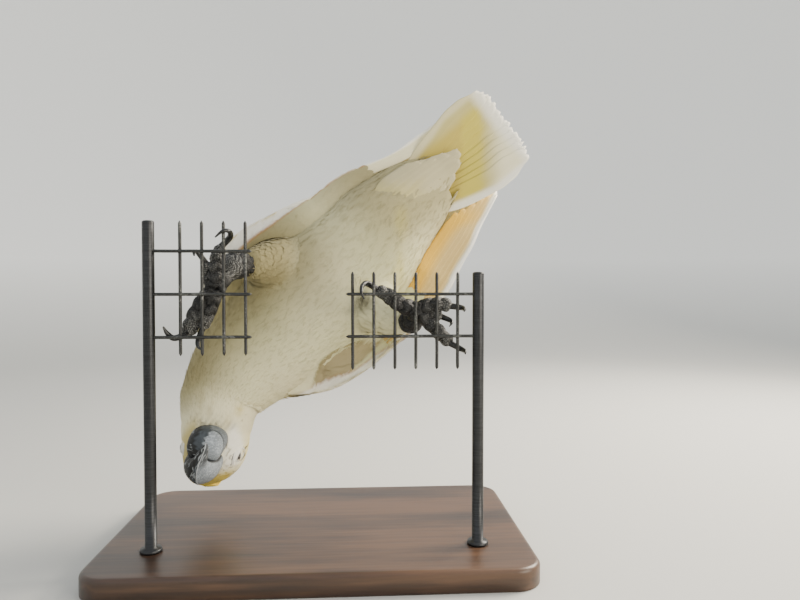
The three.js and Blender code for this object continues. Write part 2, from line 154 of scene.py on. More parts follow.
def sheetFaces(rows, columns):
    # a closed thin sheet: a top grid, a bottom grid after it, and a rim round both
    top = gridFaces(rows, columns)
    count = rows * columns
    edge = np.concatenate([np.arange(columns - 1), np.arange(rows - 1) * columns + columns - 1,
                           np.arange(count - 1, count - columns, -1),
                           np.arange(rows - 1, 0, -1) * columns])
    after = np.roll(edge, -1)
    ridgeHighlight = np.stack([after, edge, edge + count, after + count], -1)
    return np.concatenate([top, top[:, ::-1] + count, ridgeHighlight])


def tubeFaces(rings, sides):
    # a closed tube: rings of points with a fan at each end, round one more point each
    body = gridFaces(rings, sides, closed=True)
    i = np.arange(sides)
    after = (i + 1) % sides
    last = (rings - 1) * sides
    first, final = np.full(sides, rings * sides), np.full(sides, rings * sides + 1)
    return [body, np.stack([first, after, i], -1), np.stack([final, last + i, last + after], -1)]


def closedTube(rings):
    # a closed tube: its rings of points, then the middle of the first and of the last
    points = np.concatenate([rings.reshape(-1, 3), rings[[0, -1]].mean(1)])
    return points, turnedOut(points, tubeFaces(*rings.shape[:2]))


def joinShapes(*shapes):
    # several (points, faces) as one
    points, faces, start = [], [], 0
    for shapePoints, shapeFaces in shapes:
        points.append(shapePoints)
        faces += [group + start
                  for group in (shapeFaces if isinstance(shapeFaces, list) else [shapeFaces])]
        start += len(shapePoints)
    return np.concatenate(points), faces


def turnedOut(points, faces):
    # turns the faces of a closed shape round if they point inwards
    volume = 0.0
    for group in faces:
        a, b, c = points[group[:, 0]], points[group[:, 1]], points[group[:, 2]]
        volume += (a * np.cross(b, c)).sum()
        if group.shape[1] == 4:
            volume += (a * np.cross(c, points[group[:, 3]])).sum()
    return faces if volume > 0 else [group[:, ::-1] for group in faces]


def newPiece(name, points, faces, material, marks=None, patch=None, smoothed=True):
    # points in millimetres from the wire origin; faces one array or several of three or four
    # corners; marks are values kept on the points, and patch is the OFBake place of each
    faces = faces if isinstance(faces, list) else [faces]
    corners = np.concatenate([f.ravel() for f in faces]).astype(np.int32)
    sizes = np.concatenate([np.full(len(f), f.shape[1]) for f in faces])
    mesh = bpy.data.meshes.new(name)
    mesh.vertices.add(len(points))
    setPoints(mesh, points)
    mesh.loops.add(len(corners))
    mesh.loops.foreach_set("vertex_index", corners)
    mesh.polygons.add(len(sizes))
    starts = np.concatenate([[0], np.cumsum(sizes)[:-1]]).astype(np.int32)
    mesh.polygons.foreach_set("loop_start", starts)
    mesh.update(calc_edges=True)
    mark(mesh, marks or {})
    if patch is not None:
        unwrap(mesh, patch, corners)
    mesh.shade_smooth() if smoothed else mesh.shade_flat()
    mesh.materials.append(material)
    piece = bpy.data.objects.new(name, mesh)
    bpy.context.scene.collection.objects.link(piece)
    return piece


def mark(mesh, marks):
    # keeps values on the points of a mesh for its material
    for key, values in marks.items():
        kind, field = ("FLOAT", "value") if values.ndim == 1 else ("FLOAT_VECTOR", "vector")
        attribute = mesh.attributes.new(key, kind, "POINT")
        attribute.data.foreach_set(field, values.astype(np.float32).ravel())


def setPoints(mesh, points):
    mesh.vertices.foreach_set("co", toPart(points).astype(np.float32).ravel())


def unwrap(mesh, patch, corners):
    layer = mesh.uv_layers.new(name="OFBake")
    layer.uv.foreach_set("vector", patch[corners].astype(np.float32).ravel())


def cornerPoints(mesh):
    # the number of the point at each corner of a face
    corners = np.zeros(len(mesh.loops), np.int32)
    mesh.loops.foreach_get("vertex_index", corners)
    return corners


def solved(piece, *modifiers):
    # applies modifiers, each (kind, settings), and leaves their result as the piece's mesh
    for kind, settings in modifiers:
        modifier = piece.modifiers.new(kind, kind)
        for key, value in settings.items():
            setattr(modifier, key, value)
    solid = bpy.data.meshes.new_from_object(piece.evaluated_get(bpy.context.evaluated_depsgraph_get()))
    piece.modifiers.clear()
    piece.data = solid
    return piece


def meshArrays(mesh):
    # places in millimetres and outward directions of a mesh's points
    places, outward = np.empty((2, len(mesh.vertices) * 3), np.float32)
    mesh.vertices.foreach_get("co", places)
    mesh.vertex_normals.foreach_get("vector", outward)
    return fromPart(places.reshape(-1, 3).astype(float)), outward.reshape(-1, 3).astype(float)


def place(piece, slotName, *replaced):
    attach(piece, "root")
    if replaced:
        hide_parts(*replaced)
    return piece


def tubeRings(path, rings, sides, swell=None, dome=0.0):
    # a round tube along a smooth curve through [x, y, z, radius], each ring square to the
    # curve and turned as little as can be; dome is the share at each end that closes roundly
    rows = np.linspace(0, len(path) - 1, rings)
    values = between(path, rows)
    along = heading(path, rows)
    side = np.array([0.3, 1.0, 0.2])
    turned = []
    for direction in along:
        side = unit(side - direction * (side @ direction))
        turned.append(side)
    side = np.array(turned)[:, None]
    up = np.cross(along[:, None], side)
    turn = circle(sides)[None, :, None]
    radius = values[:, None, 3:4]
    if swell is not None:
        radius = radius + swell(rows[:, None, None], turn)
    if dome:
        share = np.minimum(rows, rows[::-1]) / (rows[-1] * dome)
        radius = radius * np.sqrt(np.clip(1 - (1 - np.clip(share, 0.02, 1)) ** 2, 0, 1))[:, None, None]
    return values[:, None, :3] + radius * (side * np.cos(turn) + up * np.sin(turn))


def tubeShape(path, rings, sides, swell=None, dome=0.0):
    return closedTube(tubeRings(path, rings, sides, swell, dome))


# materials

def hexColor(code):
    # an sRGB hex colour as linear red, green and blue
    parts = np.array([int(code[i:i + 2], 16) for i in (1, 3, 5)]) / 255
    return np.where(parts <= 0.04045, parts / 12.92, ((parts + 0.055) / 1.055) ** 2.4)


def rgba(code):
    return (*hexColor(code), 1.0)


def put(tree, kind, inputs=None, **settings):
    # adds a shader node; an input is a value or the socket that feeds it
    node = tree.nodes.new("ShaderNode" + kind)
    for key, value in settings.items():
        setattr(node, key, value)
    for key, value in (inputs or {}).items():
        if isinstance(value, bpy.types.NodeSocket):
            tree.links.new(value, node.inputs[key])
        else:
            node.inputs[key].default_value = value
    return node


def newMaterial(name, **sockets):
    material = bpy.data.materials.new(name)
    material.use_nodes = True
    tree = material.node_tree
    surface = tree.nodes["Principled BSDF"]
    for key, value in sockets.items():
        surface.inputs[key.replace("_", " ")].default_value = value
    return material, tree, surface


def ramp(tree, factor, stops):
    node = put(tree, "ValToRGB", {"Fac": factor})
    elements = node.color_ramp.elements
    while len(elements) < len(stops):
        elements.new(0.5)
    for element, (position, code) in zip(elements, stops):
        element.position = position
        element.color = rgba(code)
    return node.outputs["Color"]


def bump(tree, surface, height, distance, strength=1.0):
    node = put(tree, "Bump", {"Height": height, "Distance": distance, "Strength": strength})
    tree.links.new(node.outputs["Normal"], surface.inputs["Normal"])


def noise(tree, scale, detail=3.0, stretch=None):
    # noise over the piece's own place, its scale in waves per metre
    where = put(tree, "TexCoord").outputs["Object"]
    if stretch:
        where = put(tree, "Mapping", {"Vector": where, "Scale": stretch}).outputs["Vector"]
    return put(tree, "TexNoise", {"Vector": where, "Scale": scale, "Detail": detail}).outputs["Fac"]


def marked(tree, name):
    return put(tree, "Attribute", attribute_name=name)


def math2(tree, operation, a, b, c=0.0):
    return put(tree, "Math", {0: a, 1: b, 2: c}, operation=operation).outputs[0]


def mapped(tree, value, low, high, newLow=0.0, newHigh=1.0):
    # a value from low to high, stretched to run from newLow to newHigh
    return put(tree, "MapRange", {"Value": value, "From Min": low, "From Max": high,
                                  "To Min": newLow, "To Max": newHigh}).outputs[0]


def feed(tree, surface, **sockets):
    for key, socket in sockets.items():
        tree.links.new(socket, surface.inputs[key.replace("_", " ")])


def toneTimes(tree, surface, amount):
    # the colour kept on the points, lightened or darkened by a factor
    tone = marked(tree, "tone").outputs["Color"]
    scaled = put(tree, "VectorMath", {0: tone, "Scale": amount}, operation="SCALE")
    feed(tree, surface, Base_Color=scaled.outputs[0])


# camera, floor and light

stage = {
    "cameraFrom": (0.0258, -0.4361, 0.1724),
    "azimuth": -3.5,  # degrees
    "elevation": 1.5,
    "lens": 29.7,
    "floor": "#C6C6C2",
    "wall": "#FBFBF8",
    "flatRadius": 1.1,  # metres, where the floor starts to curve up into the backdrop
    "rise": 1.5,
    "world": "#EEF1F3",
    "worldStrength": 1.06,
    # place, aim, size in metres, watts and colour of each soft light
    "lights": [
        ((0.80, 0.30, 0.70), (0.03, 0.03, 0.17), 0.5, 26.0, "#FFF4E2"),
        ((-0.55, -0.85, 0.85), (0.0, 0.03, 0.15), 0.9, 0.6, "#F7F8FF"),
        ((0.85, -0.70, 0.35), (0.0, 0.03, 0.15), 0.6, 8.5, "#FFF4E2"),
    ],
}


def makeStage():
    camera = bpy.data.cameras.new("camera")
    camera.lens = stage["lens"]
    camera.sensor_width = 36
    camera.clip_start = 0.01
    viewer = bpy.data.objects.new("camera", camera)
    viewer.location = stage["cameraFrom"]
    viewer.rotation_euler = (math.radians(90 - stage["elevation"]), 0, math.radians(stage["azimuth"]))
    bpy.context.scene.collection.objects.link(viewer)
    bpy.context.scene.camera = viewer
    for i, (at, aim, size, watts, color) in enumerate(stage["lights"]):
        light = bpy.data.lights.new(f"light{i}", "AREA")
        light.size = size
        light.energy = watts
        light.color = hexColor(color)
        lamp = bpy.data.objects.new(f"light{i}", light)
        lamp.location = at
        direction = unit(np.array(aim) - np.array(at))
        lamp.rotation_euler = (math.acos(-direction[2]), 0, math.atan2(-direction[0], direction[1]))
        bpy.context.scene.collection.objects.link(lamp)
    world = bpy.data.worlds.new("studio")
    world.use_nodes = True
    background = world.node_tree.nodes["Background"]
    background.inputs["Color"].default_value = rgba(stage["world"])
    background.inputs["Strength"].default_value = stage["worldStrength"]
    bpy.context.scene.world = world
    # painted board: matt, a pale grey that runs to white up the backdrop
    paint, tree, surface = newMaterial("mattPaintedBoard", Roughness=0.95)
    surface.inputs["Specular IOR Level"].default_value = 0.1
    up = put(tree, "SeparateXYZ", {"Vector": put(tree, "TexCoord").outputs["Object"]}).outputs["Z"]
    feed(tree, surface, Base_Color=ramp(tree, up, [(0.0, stage["floor"]), (0.25, stage["wall"])]))
    # a bowl: flat to its radius, then a quarter of a circle up, turned about the upright axis
    bend = np.linspace(0, 0.5 * np.pi, 24)
    radius = np.concatenate([[0.01, 0.5], stage["flatRadius"] + stage["rise"] * np.sin(bend)])
    height = np.concatenate([[0, 0], stage["rise"] * (1 - np.cos(bend))])
    turn = circle(96)
    points = np.stack([radius[:, None] * np.cos(turn), radius[:, None] * np.sin(turn),
                       height[:, None] + 0 * turn], -1).reshape(-1, 3)
    faces = [gridFaces(len(radius), len(turn), closed=True), np.arange(len(turn))[None]]
    floor = newPiece("floor", fromPart(points), faces, paint)


makeStage()
print("stage ready")


# the body's long axis

# place, half width, depth to the belly and depth to the back, from the crown of the head
# to the end of the tail
stations = np.array([
    [-135.5, 54, -122, 12.5, 18, 21], [-122.5, 49, -103, 20.8, 23.5, 24], [-120, 51, -86, 23, 21, 25],
    [-118, 58, -69, 27.5, 22, 27], [-107, 64, -50, 34.5, 27, 32], [-89, 69, -31, 42, 33, 37],
    [-68, 71, -11, 45, 36, 39], [-45, 71, 9, 45, 36.5, 38], [-23.5, 71, 29.5, 41, 34, 34],
    [-4, 72, 53, 35, 28, 27], [20.5, 74, 75.5, 25.5, 15.5, 16], [51, 77, 100, 9, 3.5, 4],
    [80, 79, 125, 5, 1, 1],
], float)
lastStation = len(stations) - 1


def bodyFrame(station):
    # middle, the way to the tail, the way to the back, the way to the left and mm per station
    near = np.clip(station, 0.01, lastStation - 0.01)
    step = between(stations[:, :3], near + 0.01) - between(stations[:, :3], near - 0.01)
    pitch = np.linalg.norm(step, axis=-1, keepdims=True) / 0.02
    along = unit(step)
    dorsal = unit(np.array([0, 1.0, 0]) - along * along[..., 1:2])
    middle = between(stations[:, :3], np.clip(station, 0, lastStation))
    middle = middle + along * pitch * (station - np.clip(station, 0, lastStation))[..., None]
    return middle, along, dorsal, np.cross(along, dorsal), pitch


def bodySizes(station, out):
    sizes = between(stations[:, 3:], np.clip(station, 0, lastStation))
    return np.maximum(sizes + np.asarray(out)[..., None], 0.4)


def bodySurface(station, turn, out=0.0):
    # a point at that turn round the axis, from the left towards the back, on an oval whose
    # depth differs to the belly and to the back; the crown closes as a dome
    middle, _, dorsal, left, _ = bodyFrame(station)
    sizes = bodySizes(station, out + 0 * station)
    wide, belly, back = [sizes[..., i] for i in range(3)]
    first = -np.asarray(out) / 22
    dome = np.sqrt(np.clip(1 - ((1 - station) / (1 - first)) ** 2, 0, 1))
    dome = np.where(station < 1, dome, 1)
    depth = np.where(np.sin(turn) > 0, back, belly)
    sideways, backwards = wide * dome * np.cos(turn), depth * dome * np.sin(turn)
    return middle + left * sideways[..., None] + dorsal * backwards[..., None]


def bodyGrid(start, end, rows, columns, out=None):
    # a tube of points on the body from one station to another; out tells how far over it
    station, turn = np.meshgrid(np.linspace(start, end, rows), circle(columns), indexing="ij")
    return closedTube(bodySurface(station, turn, 0.0 if out is None else out(station)))


def ontoBody(points, station, out=0.0):
    # moves points onto the body: out from the axis, or from the middle of the head by the crown
    for _ in range(3):
        middle, along, _, _, pitch = bodyFrame(station)
        station = station + (dot(points - middle, along) / pitch)[..., 0]
    for _ in range(2):
        middle, along, dorsal, left, pitch = bodyFrame(station)
        sizes = bodySizes(station, out + 0 * station)
        offset = points - middle
        a, b = dot(offset, left)[..., 0], dot(offset, dorsal)[..., 0]
        ratio = np.hypot(a / sizes[..., 0], b / np.where(b > 0, sizes[..., 2], sizes[..., 1]))
        crown = np.clip(1 - station, 0, None)
        ratio = np.maximum(np.sqrt(ratio ** 2 + crown ** 2), 0.2)
        center = np.where((station < 1)[..., None], bodyFrame(np.ones_like(station))[0], middle)
        points = center + (points - center) / ratio[..., None]
        middle, along, _, _, pitch = bodyFrame(station)
        station = station + (dot(points - middle, along) / pitch)[..., 0]
    return points, station


def stationOf(points):
    # the station on the axis nearest to each point
    steps = np.linspace(0, lastStation + 0.3, 260)
    axis = bodyFrame(steps)[0]
    parts = [np.linalg.norm(group[:, None] - axis[None], axis=-1).argmin(1)
             for group in np.array_split(points, max(1, len(points) // 20000))]
    return steps[np.concatenate(parts)]


# the head's own frame

headMiddle = np.array([-122.0, 49.0, -103.0])
headFront = unit(np.array([-0.08, -0.957, -0.28]))
headTop = np.array([-0.17, 0.27, -0.945])
headTop = unit(headTop - headFront * (headTop @ headFront))
headRight = np.cross(headFront, headTop)


def headPoint(forward, crown, right):
    forward, crown, right = [np.asarray(value, float)[..., None] for value in (forward, crown, right)]
    return headMiddle + headFront * forward + headTop * crown + headRight * right


def inHead(points):
    return [(points - headMiddle) @ axis for axis in (headFront, headTop, headRight)]


# colours of the plumage

plumage = {
    "cream": "#EDE6C2",
    # deeper tone towards each feather's hidden root: its yellower base and painted shade under the
    # feathers over it
    "shade": "#CFC59A",
    "green": "#DFDCAE",  # faint wash over the belly
    "grey": "#8E835B",  # painted shade, darker towards the bird's left, towards the vent and on the soft feathers under the tail
    "yellow": "#DFC850",
    "wedge": "#CABB50",  # greenish yellow of the tail
    "deepYellow": "#F2C046",
    "ochre": "#C2AC4A",
    # olive, for stains and also for painted shade on the left of the neck and in the lining under the
    # right wing
    "olive": "#9A8F62",
    "buff": "#E2C27C",
    # painted shade over the bare lining under the right wing
    "beige": "#ADA07A",
    # painted shadow: a brown line in the crease where the flank feathers meet the wing
    "creaseShadow": "#A3672C",
    # white, also for painted highlights on the right of the face, along the wings' low edges and the
    # tail's right edge
    "white": "#FBF8EC",
    # for soiled places and also for painted shade round the root of the bill
    "soil": "#2E2416",
    "tan": "#C0B46C",
    "bloom": 0.012,  # how much one feather's lightness differs from the next
}
colors = {key: hexColor(value) for key, value in plumage.items() if isinstance(value, str)}
# soiled and stained places: where, how far they reach in mm, and how strong they are
stains = [
    ((-22, 40, -2), (7, 30, 6), "soil", 1.0), ((-28, 35, -8), (9, 12, 2.5), "soil", 0.4),
    ((-127, 40, -66), (3, 12, 8), "olive", 0.45), ((-121, 40, -72), (2.5, 12, 4), "olive", 0.55),
    ((-103, 42, -73), (3, 12, 4), "ochre", 0.55), ((-109, 42, -80), (3, 12, 5), "ochre", 0.35),
    ((3, 43, 16), (4, 10, 15), "wedge", 0.5), ((10, 43, 8), (8, 10, 8), "wedge", 0.45),
    ((4, 43, 52), (5, 12, 12), "wedge", 0.3),
]


def mixed(base, other, amount):
    return toward(base, colors[other], np.clip(amount, 0, 1))


def bodyTone(points, station):
    # cream with a greenish wash in soft patches; painted shade to the left, on the left of the
    # neck, towards the vent and round the root of the bill; a painted highlight on the right of the
    # face; yellow on the ear and the forehead and towards the vent, and the stains
    x, z = points[..., 0], points[..., 2]
    wash = 0.5 + 0.5 * np.sin(x * 0.055 + z * 0.03 + 1.0) * np.sin(z * 0.045 - x * 0.02)
    middle = np.interp(station, np.arange(lastStation + 1.0), stations[:, 0])
    forward, crown, right = inHead(points)
    ear = np.exp(-((forward + 6) ** 2 + (crown + 6) ** 2) / 70) * smooth(9, 14, np.abs(right))
    brow = smooth(-1, 6, crown) * smooth(5, 12, forward) * smooth(20, 13, np.abs(right))
    chin = smooth(-22, -27, crown) * smooth(2, 8, forward) * smooth(17, 12, np.abs(right))
    chin = chin * smooth(2.6, 1.8, station)
    washes = [
        ("green", (0.35 + 0.65 * wash) * smooth(2.0, 4.0, station)),
        # painted shade, darker to the left
        ("grey", 0.95 * smooth(20, -22, x - middle) * smooth(2.2, 3.4, station)
         * smooth(9, 6.5, station)),
        # painted shade towards the vent, more to the left
        ("grey", 0.8 * smooth(7.6, 9.2, station) * smooth(30, 6, x - middle)),
        ("yellow", np.clip(0.6 * ear + 0.9 * brow, 0, 1) * smooth(2.6, 1.8, station)),
        ("ochre", 0.65 * smooth(-7, -13, right) * smooth(4, 12, forward) * smooth(2.8, 2.0, station)),
        # painted highlight, whiter on the right of the face
        ("white", 0.8 * smooth(7, 13, right) * smooth(2, 8, forward) * smooth(2.6, 1.8, station)
         * smooth(2, -4, crown)),
        # painted shade, darker on the left of the neck
        ("olive", 0.4 * smooth(-4, -22, x + 118) * smooth(2.0, 2.6, station)
         * smooth(4.2, 3.2, station)),
        # painted shade in the soil colour round the root of the lower bill
        ("soil", 0.55 * chin * (0.6 + 0.4 * np.sin(right * 1.7 + crown))),
    ]
    grain = 0.75 + 0.25 * np.sin(x * 1.3 + z * 0.7) * np.sin(z * 1.1 - x * 0.4)
    for at, reach, stain, strength in stains:
        away = (((points - np.array(at)) / np.array(reach)) ** 2).sum(-1)
        washes.append((stain, strength * np.exp(-away ** 1.5) * grain))
    tone = np.broadcast_to(colors["cream"], points.shape)
    for name, amount in washes:
        tone = mixed(tone, name, amount)
    return tone


# legs and feet

# centre lines of thighs, shanks, toes and claws: place and radius
legs = {
    "left": {
        "thigh": [[-72, 64, 22, 21], [-84, 47, 22, 17], [-96, 33, 21.5, 9.5]],
        "shank": [[-96, 32, 21.5, 6.2], [-102, 23.5, 21, 7.6], [-106.5, 15, 13.5, 5.2],
                  [-111.5, 8.5, 7, 5.4]],
        "toes": [
            [[-110.5, 8.2, 16, 4], [-109.5, 8, 25, 3.7], [-107.8, 7.6, 32.5, 2.9]],
            [[-119, 8, -2, 4.2], [-124, 7.4, -12, 4.2], [-127, 7, -20.5, 4]],
            [[-113.5, 8.2, -3, 4], [-116.5, 7.8, -11, 3.5], [-118.5, 7.4, -17, 3]],
            [[-115, 10.5, 14, 3.6], [-117, 10.8, 22.5, 3]],
        ],
        "claws": [
            [[-107.6, 7.5, 32, 1.9], [-101.6, 4.6, 37.5, 1.8], [-100.9, -0.4, 40.6, 1.5],
             [-104, -3.9, 40.6, 1.1], [-108.6, -3.4, 37, 0.4]],
            [[-126.8, 7, -20, 2], [-134.4, 4, -22.6, 1.7], [-137.6, 0.8, -19.6, 1.3],
             [-139.4, -1.4, -15.4, 0.4]],
            [[-118.4, 7.4, -16.6, 1.8], [-121.2, 6.6, -24.2, 1.5], [-120.6, 4, -27.6, 1],
             [-118.6, 3, -29.4, 0.4]],
            [[-116.9, 10.7, 22, 1.8], [-121.2, 7.4, 28.6, 1.5], [-122.4, 4, 28.4, 1],
             [-121.8, 1.4, 26.4, 0.4]],
        ],
    },
    "right": {
        "thigh": [[-28, 62, 0, 19], [-11, 45, -8, 16.5], [5, 28, -13.5, 10]],
        "shank": [[4.5, 28, -13.5, 5.4], [8.5, 20.5, -14, 6], [10, 13, -10.5, 5], [11, 8.5, -6.5, 5.4]],
        "toes": [
            [[1, 8.2, -3, 4.2], [-7, 7.6, 2.6, 3.9], [-13.4, 6.8, 6.4, 3]],
            [[19, 7.4, -3.4, 4], [26, 6.8, -2.8, 3.7], [31.2, 6.3, -3.8, 3]],
            [[19, 9.4, -8.6, 3.8], [26, 9.2, -10.4, 3.3]],
            [[17, 7.6, -12.5, 4], [24.5, 7.2, -20, 3.7], [31.4, 6.8, -27, 3.1]],
        ],
        "claws": [
            [[-12.9, 6.8, 6.2, 1.9], [-19.4, 4.4, 9.8, 1.8], [-22.4, 0.6, 8.8, 1.5],
             [-23.2, -3.9, 5, 1.1], [-21.4, -4.4, 0.6, 0.4]],
            [[30.8, 6.3, -3.8, 1.9], [37.6, 4.4, -4.8, 1.6], [39.2, 1, -5.6, 1.2],
             [38.6, -2.4, -6.8, 0.4]],
            [[25.6, 9.2, -10.3, 1.8], [31.4, 6, -12.8, 1.4], [31.6, 3.2, -14.6, 0.9],
             [30.2, 1.4, -16, 0.4]],
            [[31.1, 6.8, -26.7, 1.9], [37.4, 4.8, -30, 1.6], [39.6, 1.4, -31.2, 1.2],
             [39.4, -2.4, -32.4, 0.4]],
        ],
    },
}


for leg in legs.values():
    # every toe starts inside the ankle
    leg["toes"] = [[[*leg["shank"][-1][:3], 4.8], *toe] for toe in leg["toes"]]


def nearTubes(points, paths):
    # for each point, by the nearest centre line: its distance along in mm, its turn from the
    # sole (towards the viewer), its distance from the line and the line's radius there
    found = []
    for path in paths:
        rows = np.linspace(0, len(path) - 1, 90)
        values = between(path, rows)
        gaps = np.linalg.norm(np.diff(values[:, :3], axis=0), axis=1)
        found.append((values[:, :3], heading(path, rows), values[:, 3],
                      np.concatenate([[0], np.cumsum(gaps)])))
    centers, alongs, radii, lengths = [np.concatenate(group) for group in zip(*found)]
    nearest = [(np.linalg.norm(group[:, None] - centers[None], axis=-1) - radii).argmin(1)
               for group in np.array_split(points, max(1, len(points) // 5000))]
    nearest = np.concatenate(nearest)
    along, offset = alongs[nearest], points - centers[nearest]
    sole = unit(np.array([0, -1.0, 0]) + along * along[:, 1:2])
    turn = np.arctan2((offset * np.cross(along, sole)).sum(-1), (offset * sole).sum(-1))
    return lengths[nearest], turn, np.linalg.norm(offset, axis=-1), radii[nearest]


# skin: body, thighs, wing arms and feet as one

skinShape = {
    "depth": [(0, 0.9), (2, 1.2), (3.5, 2.6), (12, 2.6)],  # station, mm under the coat's surface
    "bodyVoxel": 1.8,  # mm
    "footVoxel": 0.4,
    "granule": 1.25,  # mm between the warts of the sole
    "scute": 2.1,  # mm between the shields on top of the toes
    "pads": 6.4,  # mm between the pads of the sole
    "whorl": 1.5,  # mm between the wrinkles round the ankle
    "knob": 1.1,  # mm by which the ankle swells over the shank
    "arm": (3.2, 7.2),  # mm under the wing's surface where its arm starts and ends
    "footReach": 60,  # mm from the ankle within which skin can be the foot's
    "overFoot": 3.0,  # mm over a toe or shank up to which skin is the foot's
}
# grey of the toes' tips, the skin, and the black of its creases, which is painted shade
footColors = {"tip": hexColor("#83837F"), "skin": hexColor("#181818"), "crease": hexColor("#0A0A0A")}


def bodyCore():
    return bodyGrid(0.03, 10.1, 200, 120, lambda station: -readAt(skinShape["depth"], station))


def footRelief(points, leg):
    # pads swell under the joints with a crease between them, grains stand in an uneven
    # lattice on the sole, shields on top, and wrinkles run round the ankle; returns the lift
    # in mm, how high up a grain each point is, how far it is to the tip of the toe, how near
    # the ankle it is and how full the pad
    along, turn, _, radius = nearTubes(points, [leg["shank"], *leg["toes"]])
    across = turn * radius
    sole = smooth(-0.3, 0.4, np.cos(turn))
    first, second, kind = cells(along / skinShape["granule"], across / skinShape["granule"])
    grain = smooth(0.02, 0.45, second - first) * (0.6 + 0.4 * kind)
    first, second, _ = cells(along / skinShape["scute"], across / (1.7 * skinShape["scute"]), 3.0)
    shield = smooth(0.0, 0.22, second - first)
    uneven = along + 1.1 * np.sin(across * 0.8 + along * 0.3)
    pads = np.abs(np.cos(np.pi * uneven / skinShape["pads"])) ** 0.55
    ankle = np.array(leg["shank"][1][:3]) + [-1.5, -leg["shank"][1][3], 0]
    spot = points - ankle
    x, z = spot[:, 0], spot[:, 2]
    wander = 0.9 * np.sin(np.arctan2(z, x) * 3) + 0.5 * np.sin(x * 0.9 + z * 1.3)
    wrinkle = (np.hypot(x, z * 0.85) + wander) / skinShape["whorl"]
    whorl = 0.5 + 0.5 * np.cos(2 * np.pi * wrinkle)
    near = smooth(9.5, 7.5, np.linalg.norm(spot, axis=1)) * (leg is legs["left"])
    up = sole * grain + (1 - sole) * shield
    up = up + (0.2 + 0.8 * whorl * (0.6 + 0.4 * grain) - up) * near
    lift = sole * (1.7 * pads - 0.9) * (1 - near) + 0.25 * up + 0.5 * (1 - near) - 0.2
    ends = np.array([toe[-1][:3] for toe in leg["toes"]])
    toTip = np.linalg.norm(points[:, None] - ends[None], axis=-1).min(1)
    return lift, up, toTip, near, pads


def footMesh(leg):
    def knob(rows, turn):
        ends = [np.exp(-((rows - end) / 0.45) ** 2) for end in (1, 2)]
        return skinShape["knob"] * (ends[0] - ends[1])

    shapes = [tubeShape(leg["shank"], 60, 40, knob)]
    shapes += [tubeShape(toe, 60, 36, dome=0.12) for toe in leg["toes"]]
    piece = melted(newPiece("rawFoot", *joinShapes(*shapes), clay), skinShape["footVoxel"], 3)
    points, outward = meshArrays(piece.data)
    setPoints(piece.data, points + outward * footRelief(points, leg)[0][:, None])
    return piece


def melted(piece, voxel, smoothing):
    # runs the overlapping parts of a piece together and smooths the seams
    return solved(piece, ("REMESH", {"mode": "VOXEL", "voxel_size": voxel * 0.001}),
                  ("SMOOTH", {"iterations": smoothing, "factor": 0.5}))


def armSlab(side):
    # the bare wing under its coverts: a slab 3 to 7 mm inside the wing's surface
    s, a = np.meshgrid(np.linspace(0.14, 0.5, 36), np.linspace(0.10, 0.92, 40), indexing="ij")
    here, _, _, normal = wingFrame(side, s, a)
    points = np.concatenate([(here - normal * depth).reshape(-1, 3) for depth in skinShape["arm"]])
    return points, turnedOut(points, [sheetFaces(36, 40)])


def skinMaterial():
    # thin living skin, mounted dry: satin, creased, in the tone kept on its points
    material, tree, surface = newMaterial("drySkin", Roughness=0.7)
    toneTimes(tree, surface, mapped(tree, noise(tree, 350.0, 4.0), 0.3, 0.7, 0.88, 1.06))
    bump(tree, surface, noise(tree, 1600.0, 3.0), 0.00015, 0.5)
    return material


def footMaterial():
    # horny foot skin: dark grey warts and shields with a dusty bloom, black in the creases as painted
    # shade and lighter on the crowns of the warts as painted highlight
    material, tree, surface = newMaterial("hornyFootSkin", Roughness=0.5)
    dust = mapped(tree, noise(tree, 900.0, 5.0), 0.35, 0.7, 0.7, 1.3)
    # warts 0.9 mm apart, black between them as painted shade and lighter on their crowns as painted
    # highlight
    where = put(tree, "TexCoord").outputs["Object"]
    warts = put(tree, "TexVoronoi", {"Vector": where, "Scale": 1100.0}, feature="DISTANCE_TO_EDGE")
    warts = warts.outputs["Distance"]
    toneTimes(tree, surface, math2(tree, "MULTIPLY", dust, mapped(tree, warts, 0.02, 0.3, 0.35, 1.7)))
    feed(tree, surface, Roughness=mapped(tree, noise(tree, 500.0), 0.0, 1.0, 0.38, 0.68))
    bump(tree, surface, warts, 0.0006, 0.8)
    return material


eyes = {"radius": 5.2, "forward": 8.0, "crown": -5.5, "side": 14.7, "opening": 3.5, "ring": 7.2,
        "bareRing": 5.0, "lid": "#EBE9E0", "lidEdge": "#2B2826",
        "iris": [(0.0, "#050404"), (0.44, "#070505"), (0.50, "#0F0907"), (0.72, "#170D08"),
                 (0.84, "#0B0705"), (0.9, "#090706")]}


